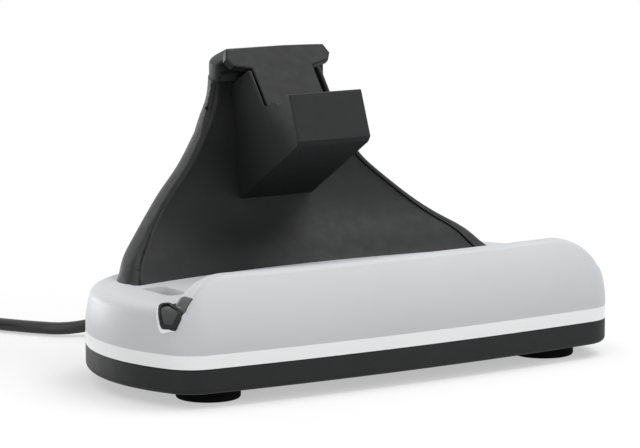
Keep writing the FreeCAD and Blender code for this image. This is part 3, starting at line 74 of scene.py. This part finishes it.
def place_camera():
    """Looks at the stand from where the photograph was taken."""
    data = bpy.data.cameras.new("photo_camera")
    data.sensor_fit = "HORIZONTAL"
    data.sensor_width = SENSOR_WIDTH
    data.lens = PHOTO_LENS
    data.clip_start = SEEN_FROM
    data.clip_end = SEEN_TO
    camera = bpy.data.objects.new("photo_camera", data)
    scene.collection.objects.link(camera)
    camera.location = PHOTO_PLACE
    camera.rotation_euler = PHOTO_TURN.to_euler()
    scene.camera = camera


def photo_ray(x, y):
    """The direction from the camera through a pixel of the photograph."""
    pixel = SENSOR_WIDTH / PHOTO_WIDTH / PHOTO_LENS
    ahead = Vector(((x - PHOTO_WIDTH / 2) * pixel, (PHOTO_HEIGHT / 2 - y) * pixel, -1.0))
    return (PHOTO_TURN @ ahead).normalized()


place_camera()


# Finishes
NOISE_LEAST = 0.3
NOISE_MOST = 0.7
GLOSS_PATCHES = 9.0


def new_finish(name):
    """A new material with its node tree, its shader and the coordinates of the piece that wears it."""
    material = bpy.data.materials.new(name)
    material.use_nodes = True
    tree = material.node_tree
    shader = tree.nodes["Principled BSDF"]
    place = tree.nodes.new("ShaderNodeTexCoord")
    return material, tree, shader, place.outputs["Object"]


def noise(tree, vector, scale, detail=3.0, rough=0.55):
    texture = tree.nodes.new("ShaderNodeTexNoise")
    texture.inputs["Scale"].default_value = scale
    texture.inputs["Detail"].default_value = detail
    texture.inputs["Roughness"].default_value = rough
    tree.links.new(vector, texture.inputs["Vector"])
    return texture.outputs["Fac"]


def blend_colours(tree, factor, dark, light):
    mix = tree.nodes.new("ShaderNodeMix")
    mix.data_type = "RGBA"
    mix.inputs["A"].default_value = (*dark, 1.0)
    mix.inputs["B"].default_value = (*light, 1.0)
    tree.links.new(factor, mix.inputs["Factor"])
    return mix.outputs["Result"]


def span(tree, factor, low, high):
    """A value from low to high as a noise goes from its usual least to its usual most."""
    scale = tree.nodes.new("ShaderNodeMapRange")
    scale.inputs["From Min"].default_value = NOISE_LEAST
    scale.inputs["From Max"].default_value = NOISE_MOST
    scale.inputs["To Min"].default_value = low
    scale.inputs["To Max"].default_value = high
    tree.links.new(factor, scale.inputs["Value"])
    return scale.outputs["Result"]


def moulded(name, colour, shade=0.06, patch=35.0, gloss=(0.4, 0.5), grain=2600.0, depth=0.00003,
            strength=0.25, **sockets):
    """Moulded plastic, rubber or metal with a fine grain, whose colour and gloss vary a little.

    The scales of the patches and the grain are per metre, and the grain's depth is in metres.
    """
    material, tree, shader, place = new_finish(name)
    patches = noise(tree, place, patch)
    dark = tuple(part * (1.0 - shade) for part in colour)
    light = tuple(min(1.0, part * (1.0 + shade)) for part in colour)
    tint = span(tree, patches, 0.0, 1.0)
    tree.links.new(blend_colours(tree, tint, dark, light), shader.inputs["Base Color"])
    fine = noise(tree, place, grain, detail=2.0)
    gloss_patches = noise(tree, place, patch * GLOSS_PATCHES)
    tree.links.new(span(tree, gloss_patches, *gloss), shader.inputs["Roughness"])
    bump = tree.nodes.new("ShaderNodeBump")
    bump.inputs["Strength"].default_value = strength
    bump.inputs["Distance"].default_value = depth
    tree.links.new(fine, bump.inputs["Height"])
    tree.links.new(bump.outputs["Normal"], shader.inputs["Normal"])
    for socket, value in sockets.items():
        shader.inputs[socket.replace("_", " ")].default_value = value
    return material


FINISHES = {
    "shell_grey": moulded("shell_grey", (0.58, 0.592, 0.602), shade=0.015, gloss=(0.46, 0.54),
                          Specular_IOR_Level=0.35),
    "white_plastic": moulded("white_plastic", (0.92, 0.925, 0.93), shade=0.01, gloss=(0.38, 0.46),
                             Specular_IOR_Level=0.35),
    "black_plastic": moulded("black_plastic", (0.0095, 0.0099, 0.0106), shade=0.1, gloss=(0.54, 0.62),
                             strength=0.4, Specular_IOR_Level=0.28),
    "foot_rubber": moulded("foot_rubber", (0.004, 0.004, 0.004), shade=0.2, gloss=(0.75, 0.9),
                           grain=1500.0, Specular_IOR_Level=0.06),
    "smoke_plastic": moulded("smoke_plastic", (0.035, 0.038, 0.036), shade=0.1, gloss=(0.14, 0.22),
                             strength=0.05),
    "clear_plastic": moulded("clear_plastic", (0.82, 0.84, 0.84), shade=0.02, gloss=(0.1, 0.2),
                             Transmission_Weight=0.7, IOR=1.49),
    "plated_steel": moulded("plated_steel", (0.66, 0.66, 0.65), shade=0.04, gloss=(0.2, 0.3),
                            Metallic=1.0),
    "screw_steel": moulded("screw_steel", (0.5, 0.5, 0.5), shade=0.1, gloss=(0.28, 0.42),
                           Metallic=1.0),
    "weight_steel": moulded("weight_steel", (0.2, 0.2, 0.21), shade=0.15, gloss=(0.4, 0.6),
                            Metallic=0.8),
    "circuit_board": moulded("circuit_board", (0.015, 0.11, 0.05), shade=0.15, gloss=(0.25, 0.35),
                             patch=160.0),
    "chip_black": moulded("chip_black", (0.018, 0.018, 0.019), shade=0.15, gloss=(0.5, 0.65)),
    "ferrite_grey": moulded("ferrite_grey", (0.08, 0.08, 0.085), shade=0.12, gloss=(0.55, 0.7)),
    "capacitor_can": moulded("capacitor_can", (0.62, 0.62, 0.63), shade=0.04, gloss=(0.25, 0.35),
                             Metallic=1.0),
    "cord_black": moulded("cord_black", (0.014, 0.014, 0.015), shade=0.12, gloss=(0.4, 0.5),
                          grain=1800.0),
    "tie_black": moulded("tie_black", (0.018, 0.018, 0.019), shade=0.3, gloss=(0.8, 0.95),
                         grain=1400.0, strength=0.9, depth=0.0002),
    "led_white": moulded("led_white", (0.8, 0.8, 0.77), shade=0.03, gloss=(0.3, 0.4)),
}
for row in frame["record"]["subparts"]:
    for place in nodes[row["node"]].material_slots:
        place.material = FINISHES[row["material_slot"]]


# Steps that several pieces share
MERGE_NEAR = 0.002
CUT_NEAR = 0.0001


def add_piece(piece, slot, *replaced):
    """Puts a new piece on the stand, with its finish and the CAD nodes that it stands for."""
    scene.collection.objects.link(piece)
    piece.data.materials.append(FINISHES[slot])
    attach(piece, "root")
    if replaced:
        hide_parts(*replaced)
    return piece


def finish_piece(name, shape, slot):
    """Turns a bmesh into a smooth piece of the stand."""
    for face in shape.faces:
        face.smooth = True
    data = bpy.data.meshes.new(name)
    shape.to_mesh(data)
    shape.free()
    return add_piece(bpy.data.objects.new(name, data), slot)


def add_wall(piece, thickness):
    """Gives a skin its thickness, inwards."""
    wall = piece.modifiers.new("wall", "SOLIDIFY")
    wall.thickness = thickness * MM
    wall.offset = -1.0


def merged_copy(name):
    """A copy of a node's mesh with its loose triangles joined."""
    shape = bmesh.new()
    shape.from_mesh(nodes[name].data)
    bmesh.ops.remove_doubles(shape, verts=shape.verts, dist=MERGE_NEAR * MM)
    bmesh.ops.recalc_face_normals(shape, faces=shape.faces)
    return shape


def cut(shape, point, normal, remove=False):
    """Cuts a shape along a plane and, where asked, removes what lies beyond it."""
    bmesh.ops.bisect_plane(shape, geom=shape.verts[:] + shape.edges[:] + shape.faces[:], dist=CUT_NEAR * MM,
                           plane_co=Vector(point) * MM, plane_no=Vector(normal), clear_outer=remove)


def keep_smooth_patch(shape, seed, bend):
    """Leaves only the faces that join the seed face without an edge sharper than a bend."""
    patch = {seed}
    queue = [seed]
    while queue:
        for edge in queue.pop().edges:
            for face in edge.link_faces:
                if face not in patch and edge.calc_face_angle(math.pi) < bend:
                    patch.add(face)
                    queue.append(face)
    others = [face for face in shape.faces if face not in patch]
    bmesh.ops.delete(shape, geom=others, context="FACES")
    shape.normal_update()


# Upright: a skin that spreads over the seat in the deck and fills the neck, and a cap behind the T-plate
SKIN_LOW = 28.3
SKIN_TOP = 86.6
FOOT_TOP = 47.0
FOOT_SPREAD = 3.3
FOOT_CURVE = 1.4
NECK_FROM = 69.0
NECK_TO = 87.2
NECK_GROWS = 1.05
SKIN_LIFT = 0.03
SKIN_WALL = 0.6
SKIN_ROW = 2.0
SKIN_FRONT = -0.6
SKIN_TURN = 0.7
PATCH_BEND = math.radians(42.0)


def skin_lift(level):
    """How far the skin stands out from the upright at a height."""
    foot = max(FOOT_TOP - level, 0.0) / (FOOT_TOP - SKIN_LOW)
    neck = limited((level - NECK_FROM) / (NECK_TO - NECK_FROM))
    return FOOT_SPREAD * foot ** FOOT_CURVE + NECK_GROWS * math.sin(math.pi * neck) + SKIN_LIFT


def make_upright_skin():
    """A thin skin over the sides and back of the rear shell."""
    shape = merged_copy("upright_rear")
    cut(shape, (0, 0, SKIN_TOP), (0, 0, 1), remove=True)
    cut(shape, (0, 0, SKIN_LOW), (0, 0, -1), remove=True)
    shape.faces.ensure_lookup_table()
    seed = max(shape.faces, key=lambda face: face.calc_center_median().y)
    keep_smooth_patch(shape, seed, PATCH_BEND)
    fronts = [face for face in shape.faces if face.normal.y < SKIN_FRONT]
    bmesh.ops.delete(shape, geom=fronts, context="FACES")
    for row in range(1, int((SKIN_TOP - SKIN_LOW) / SKIN_ROW)):
        cut(shape, (0, 0, SKIN_LOW + SKIN_ROW * row), (0, 0, 1))
    shape.normal_update()
    for vert in shape.verts:
        out = Vector((vert.normal.x, vert.normal.y, 0)).normalized()
        share = limited((out.y + SKIN_TURN) / SKIN_TURN)
        vert.co += out * share * skin_lift(vert.co.z / MM) * MM
    skin = finish_piece("upright_skin", shape, "black_plastic")
    add_wall(skin, SKIN_WALL)
    even = skin.modifiers.new("even_shading", "WEIGHTED_NORMAL")
    even.keep_sharp = True


CAP_HALF = 20.1
CAP_FRONT = 34.6
CAP_BACK = 43.3
CAP_LOW = 84.5
CAP_TOP = 94.0
CAP_CORNER = (12.2, 0.0, 93.6)
CAP_SLANT = (0.371, 0.0, 0.928)
CAP_BACK_ROUND = 6.0
CAP_EDGE = 0.6
CAP_STRAIGHT = 0.001


def is_cap_back_corner(edge):
    """True for an upright edge along one of the two back corners."""
    first, second = (vert.co for vert in edge.verts)
    upright = (first - second).to_2d().length < CAP_STRAIGHT * MM
    return upright and first.y > (CAP_FRONT + CAP_BACK) / 2 * MM


def make_head_cap():
    """A block behind the T-plate with slanted upper corners and a rounded back."""
    shape = bmesh.new()
    bmesh.ops.create_cube(shape, size=1.0)
    bmesh.ops.scale(shape, verts=shape.verts, vec=(CAP_HALF * 2 * MM, (CAP_BACK - CAP_FRONT) * MM,
                                                   (CAP_TOP - CAP_LOW) * MM))
    bmesh.ops.translate(shape, verts=shape.verts, vec=(0, (CAP_BACK + CAP_FRONT) / 2 * MM,
                                                       (CAP_TOP + CAP_LOW) / 2 * MM))
    x, y, z = CAP_CORNER
    slant_x, slant_y, slant_z = CAP_SLANT
    for side in (-1.0, 1.0):
        cut(shape, (x * side, y, z), (slant_x * side, slant_y, slant_z), remove=True)
        rim = [edge for edge in shape.edges if edge.is_boundary]
        bmesh.ops.edgeloop_fill(shape, edges=rim)
    backs = [edge for edge in shape.edges if is_cap_back_corner(edge)]
    bmesh.ops.bevel(shape, geom=backs, offset=CAP_BACK_ROUND * MM, affect="EDGES", segments=8, profile=0.5,
                    material=-1)
    sharp = [edge for edge in shape.edges if edge.calc_face_angle(0.0) > PATCH_BEND]
    bmesh.ops.bevel(shape, geom=sharp, offset=CAP_EDGE * MM, affect="EDGES", segments=3, profile=0.5,
                    material=-1)
    finish_piece("head_cap", shape, "black_plastic")


CHEEK_X = 12.85
CHEEK_LOW = (19.3, 77.9)
CHEEK_HIGH = (26.9, 88.2)
CHEEK_BEAD = 0.55
BEAD_END = 0.7
BEAD_END_BEND = math.radians(60.0)


def make_cheek_beads():
    """A rounded edge along each cheek of the arm."""
    low = Vector((0, *CHEEK_LOW))
    run = Vector((0, *CHEEK_HIGH)) - low
    turn = run.to_track_quat("Z", "Y").to_matrix().to_4x4()
    for name, side in (("cheek_bead_left", -1.0), ("cheek_bead_right", 1.0)):
        shape = bmesh.new()
        bmesh.ops.create_cone(shape, cap_ends=True, segments=16, radius1=CHEEK_BEAD * MM,
                              radius2=CHEEK_BEAD * MM, depth=run.length * MM)
        ends = [edge for edge in shape.edges if edge.calc_face_angle(0.0) > BEAD_END_BEND]
        bmesh.ops.bevel(shape, geom=ends, offset=CHEEK_BEAD * BEAD_END * MM, affect="EDGES", segments=3,
                        profile=0.5, material=-1)
        middle = (low + run / 2 + Vector((CHEEK_X * side, 0, 0))) * MM
        bmesh.ops.transform(shape, matrix=Matrix.Translation(middle) @ turn, verts=shape.verts)
        finish_piece(name, shape, "black_plastic")


make_upright_skin()
make_head_cap()
make_cheek_beads()


# Window: a raised black frame around the lens, and a white border where it sits in the shell, which is a
# painted highlight for the light that the shell's bevelled edge catches
# The corners are pixels of the photograph, from its left and upper edges
# The last three are set about 2 pixels lower than they were read, so that the rings fit at the bottom
WINDOW_PIXELS = [(158.4, 308.9), (159.4, 306.1), (162.8, 304.5), (170.9, 304.0), (183.2, 312.4),
                 (181.6, 320.6), (176.3, 332.2), (162.6, 330.8), (160.4, 326.9)]
WINDOW_INWARD = Vector((0.6, 0.25, -0.75)).normalized()
WINDOW_AWAY = 12.0
WINDOW_CORNER = 0.5
WINDOW_CUTS = 4
RAY_SPREAD = 0.4
FRAME_PROFILE = [(1.0, 0.05), (0.95, 0.5), (0.88, 0.6), (0.77, 0.55), (0.71, 0.1)]
# The white border's rows, and the side where it paints the highlight of the shell's bevel, with how it
# fades, ends and sinks away from there
HIGHLIGHT_BORDER_PROFILE = [(1.28, 0.03), (1.2, 0.16), (0.92, 0.2)]
PAINTED_HIGHLIGHT_SIDE = Vector((-0.72, 0.48, -0.5))
PAINTED_HIGHLIGHT_FADE = 0.9
PAINTED_HIGHLIGHT_END = 0.3
PAINTED_HIGHLIGHT_SUNK = 0.6
RING_WALL = 0.35


def first_meeting(skins, start, direction):
    """How far along a line the nearest of the skins lies, or None where the line meets none."""
    distances = [skin.ray_cast(start, direction)[3] for skin in skins]
    return min((distance for distance in distances if distance is not None), default=None)


def window_corners(skins):
    """The spots on the skins that the photograph shows at the window's corners."""
    rays = [photo_ray(x, y) for x, y in WINDOW_PIXELS]
    return [PHOTO_PLACE + ray * first_meeting(skins, PHOTO_PLACE, ray) for ray in rays]


def press_on(skins, point):
    """The spot where a point, moved along the window's inward line, first meets one of the skins."""
    aside = WINDOW_INWARD.orthogonal().normalized()
    across = WINDOW_INWARD.cross(aside)
    reach = []
    for step_aside, step_across in ((0, 0), (1, 0), (-1, 0), (0, 1), (0, -1)):
        start = point + (aside * step_aside + across * step_across) * RAY_SPREAD * MM
        distance = first_meeting(skins, start, WINDOW_INWARD)
        if distance is not None:
            reach.append(distance)
    return point + WINDOW_INWARD * min(reach)


def window_plate(corners, middle):
    """A flat plate of the window's outline with rounded corners, seen along its inward line."""
    shape = bmesh.new()
    verts = []
    for corner in corners:
        flat = corner - middle
        verts.append(shape.verts.new(flat - WINDOW_INWARD * flat.dot(WINDOW_INWARD)))
    shape.faces.new(verts)
    bmesh.ops.bevel(shape, geom=shape.verts[:], offset=WINDOW_CORNER * MM, affect="VERTICES", segments=3,
                    profile=0.5, material=-1)
    runs = [edge for edge in shape.edges if edge.calc_length() > WINDOW_CORNER * MM]
    bmesh.ops.subdivide_edges(shape, edges=runs, cuts=WINDOW_CUTS)
    return shape


def make_window_ring(name, slot, skins, corners, profile, side=None):
    """A ring around the lens, from rows of (share of the outline, height above the skin).

    With a side given, the ring is widest on that side, and it tapers and sinks into the skin towards the
    others, so that the white border paints a highlight along that side only.
    """
    middle = sum(corners, Vector()) / len(corners)
    shape = window_plate(corners, middle)
    bmesh.ops.delete(shape, geom=shape.faces[:], context="FACES_ONLY")
    loop = shape.edges[:]
    rows = {vert: profile[0] for vert in shape.verts}
    for row in profile[1:]:
        made = bmesh.ops.extrude_edge_only(shape, edges=loop)["geom"]
        loop = [part for part in made if isinstance(part, bmesh.types.BMEdge)]
        rows.update({part: row for part in made if isinstance(part, bmesh.types.BMVert)})
    for vert, (share, height) in rows.items():
        # Painted highlight: the white border shows on the given side and sinks into the skin elsewhere
        if side:
            highlight_shown = limited(vert.co.normalized().dot(side) / PAINTED_HIGHLIGHT_FADE)
            share = min(share, 1.0) + max(share - 1.0, 0.0) * highlight_shown
            height -= PAINTED_HIGHLIGHT_SUNK * (1.0 - min(highlight_shown / PAINTED_HIGHLIGHT_END, 1.0))
        start = middle + vert.co * share - WINDOW_INWARD * WINDOW_AWAY * MM
        vert.co = press_on(skins, start) - WINDOW_INWARD * height * MM
    shape.normal_update()
    facing = sum((face.normal * face.calc_area() for face in shape.faces), Vector())
    if facing.dot(WINDOW_INWARD) > 0:
        bmesh.ops.reverse_faces(shape, faces=shape.faces)
    add_wall(finish_piece(name, shape, slot), RING_WALL)


def make_window():
    """Lays both rings on the shell and the lens: the black frame, and the white border that paints the
    highlight of the shell's bevel.
    """
    shapes = [merged_copy(name) for name in ("top_shell", "light_window")]
    skins = [BVHTree.FromBMesh(shape) for shape in shapes]
    corners = window_corners(skins)
    make_window_ring("window_frame", "black_plastic", skins, corners, FRAME_PROFILE)
    # A white ring in place of the light on the shell's bevelled edge: a painted highlight
    make_window_ring("window_painted_highlight", "white_plastic", skins, corners, HIGHLIGHT_BORDER_PROFILE, PAINTED_HIGHLIGHT_SIDE)
    for shape in shapes:
        shape.free()


make_window()


# Lead: the route from the part's source, then the wound turns as more points of the same spline
CORD_DIAMETER = 4.0
CORD_ROUTE = [(0, 51.0, 20.0), (0, 64.0, 20.0), (-7.6, 75.2, 15.4), (-23.5, 80.0, 6.8), (-43.6, 81.2, 2.1),
              (-55.6, 98.0, 2.1), (-62.6, 113.0, 2.1), (-73.3, 122.0, 2.1)]
COIL_SIDE = 34.0
COIL_LEAN = math.radians(15.0)
COIL_TURN = math.radians(50.0)
COIL_OUTER = 32.2
COIL_PITCH = 4.15
COIL_LOW = 2.9
COIL_HIGH = 7.0
COIL_START = -15.0
COIL_SWEEP = 3345.0
COIL_RISE = 180.0
COIL_STEPS = 167
RISE_DIP = 0.9
CONTROL_SHARE = 0.985
COIL_LEAVES = [(-11.0, 31.2, 7.0), (-19.0, 29.9, 6.0), (-25.0, 29.5, 4.1), (-30.0, 29.5, 4.1)]


def coil_points():
    """Control points of the turns, about the coil's own middle: in along the floor, up, and out on top."""
    layer = (COIL_SWEEP - COIL_RISE) / 2
    inner = COIL_OUTER - COIL_PITCH * layer / 360.0
    points = []
    for step in range(COIL_STEPS + 1):
        swept = COIL_SWEEP * step / COIL_STEPS
        climb = limited((swept - layer) / COIL_RISE)
        if swept < layer:
            radius = COIL_OUTER - COIL_PITCH * swept / 360.0
        else:
            radius = inner + COIL_PITCH * max(swept - layer - COIL_RISE, 0.0) / 360.0
        radius = (radius - RISE_DIP * math.sin(math.pi * climb)) / CONTROL_SHARE
        level = COIL_LOW + (COIL_HIGH - COIL_LOW) * climb
        turn = math.radians(COIL_START + swept)
        points.append((radius * math.cos(turn), radius * math.sin(turn), level))
    return points + COIL_LEAVES


def make_cord():
    """The lead and its turns as one spline; the tie and the plug that are on it are not made here."""
    end_x, end_y, _ = CORD_ROUTE[-1]
    middle = Vector((end_x - COIL_SIDE * math.cos(COIL_LEAN), end_y - COIL_SIDE * math.sin(COIL_LEAN), 0))
    turn = Matrix.Translation(middle) @ Matrix.Rotation(COIL_TURN, 4, "Z")
    points = [Vector(point) for point in CORD_ROUTE] + [turn @ Vector(point) for point in coil_points()]
    data = bpy.data.curves.new("lead", "CURVE")
    data.dimensions = "3D"
    data.bevel_depth = CORD_DIAMETER / 2 * MM
    data.bevel_resolution = 5
    data.resolution_u = 6
    data.use_fill_caps = True
    spline = data.splines.new("NURBS")
    spline.points.add(len(points) - 1)
    for place, point in zip(spline.points, points):
        place.co = (*(point * MM), 1.0)
    spline.order_u = 3
    spline.use_endpoint_u = True
    cord = add_piece(bpy.data.objects.new("lead", data), "cord_black", "power_cord", "cord_coil")


make_cord()


# Floor, backdrop and light
FLOOR_HALF = 3.0
FLOOR_DROP = 0.0002
FLOOR_NEAR = 0.22
FLOOR_FAR = 0.42
FLOOR_TONE = 0.55
SHADOW_FILL = 0.46
FLOOR_SEEN = 0.97
SKY_LIGHT = 0.5
STAND_MIDDLE = Vector((0, 0, 0.03))
# Each lamp's name, place, side and power in watts
LAMPS = [("top_softbox", (0.55, -0.15, 1.0), 0.8, 6.5),
         ("top_left_softbox", (-0.65, -0.3, 0.9), 0.5, 1.2),
         ("left_softbox", (-1.0, -0.35, 0.14), 0.4, 1.4),
         ("low_back_softbox", (-0.3, 1.05, 0.1), 0.3, 4.5),
         ("front_softbox", (0.1, -1.3, 0.55), 0.9, 4.0),
         ("back_softbox", (-0.1, 1.1, 0.55), 0.5, 1.4)]


def seen_or_mirrored(tree):
    """1 for a ray from the camera or from a mirroring or clear surface, and 0 for light."""
    path = tree.nodes.new("ShaderNodeLightPath")
    total = path.outputs["Is Camera Ray"]
    for ray in ("Is Glossy Ray", "Is Transmission Ray"):
        most = tree.nodes.new("ShaderNodeMath")
        most.operation = "MAXIMUM"
        tree.links.new(total, most.inputs[0])
        tree.links.new(path.outputs[ray], most.inputs[1])
        total = most.outputs["Value"]
    return total


def floor_finish():
    """Keeps the shadow near the stand, goes to plain white further out, and is less bright as a light."""
    material = bpy.data.materials.new("floor_white")
    material.use_nodes = True
    tree = material.node_tree
    tree.nodes.remove(tree.nodes["Principled BSDF"])
    bounce = tree.nodes.new("ShaderNodeBsdfDiffuse")
    bounce.inputs["Color"].default_value = (FLOOR_TONE, FLOOR_TONE, FLOOR_TONE, 1.0)
    seen = tree.nodes.new("ShaderNodeBsdfDiffuse")
    seen.inputs["Color"].default_value = (FLOOR_SEEN, FLOOR_SEEN, FLOOR_SEEN, 1.0)
    white = tree.nodes.new("ShaderNodeEmission")
    place = tree.nodes.new("ShaderNodeTexCoord")
    reach = tree.nodes.new("ShaderNodeVectorMath")
    reach.operation = "LENGTH"
    fade = tree.nodes.new("ShaderNodeMapRange")
    fade.interpolation_type = "SMOOTHSTEP"
    fade.inputs["From Min"].default_value = FLOOR_NEAR
    fade.inputs["From Max"].default_value = FLOOR_FAR
    fade.inputs["To Min"].default_value = SHADOW_FILL
    tree.links.new(place.outputs["Object"], reach.inputs[0])
    tree.links.new(reach.outputs["Value"], fade.inputs["Value"])
    shadow = tree.nodes.new("ShaderNodeMixShader")
    tree.links.new(fade.outputs["Result"], shadow.inputs["Fac"])
    tree.links.new(seen.outputs["BSDF"], shadow.inputs[1])
    tree.links.new(white.outputs["Emission"], shadow.inputs[2])
    look = tree.nodes.new("ShaderNodeMixShader")
    tree.links.new(seen_or_mirrored(tree), look.inputs["Fac"])
    tree.links.new(bounce.outputs["BSDF"], look.inputs[1])
    tree.links.new(shadow.outputs["Shader"], look.inputs[2])
    tree.links.new(look.outputs["Shader"], tree.nodes["Material Output"].inputs["Surface"])
    return material


def make_floor():
    """A plain square just under the feet."""
    shape = bmesh.new()
    bmesh.ops.create_grid(shape, x_segments=1, y_segments=1, size=FLOOR_HALF)
    bmesh.ops.translate(shape, verts=shape.verts, vec=(0, 0, -FLOOR_DROP))
    data = bpy.data.meshes.new("floor")
    shape.to_mesh(data)
    shape.free()
    data.materials.append(floor_finish())
    floor = bpy.data.objects.new("floor", data)
    scene.collection.objects.link(floor)


def make_sky():
    """White where it is seen or mirrored, and a plain level of light otherwise."""
    world = bpy.data.worlds.new("sky")
    world.use_nodes = True
    scene.world = world
    tree = world.node_tree
    back = tree.nodes["Background"]
    back.inputs["Color"].default_value = (1.0, 1.0, 1.0, 1.0)
    level = tree.nodes.new("ShaderNodeMapRange")
    level.inputs["To Min"].default_value = SKY_LIGHT
    level.inputs["To Max"].default_value = 1.0
    tree.links.new(seen_or_mirrored(tree), level.inputs["Value"])
    tree.links.new(level.outputs["Result"], back.inputs["Strength"])


def add_lamp(name, place, side, power):
    """A square soft light that faces the stand."""
    data = bpy.data.lights.new(name, "AREA")
    data.shape = "SQUARE"
    data.size = side
    data.energy = power
    lamp = bpy.data.objects.new(name, data)
    scene.collection.objects.link(lamp)
    lamp.location = place
    lamp.rotation_euler = (STAND_MIDDLE - Vector(place)).to_track_quat("-Z", "Y").to_euler()


make_floor()
make_sky()
for name, place, side, power in LAMPS:
    add_lamp(name, place, side, power)
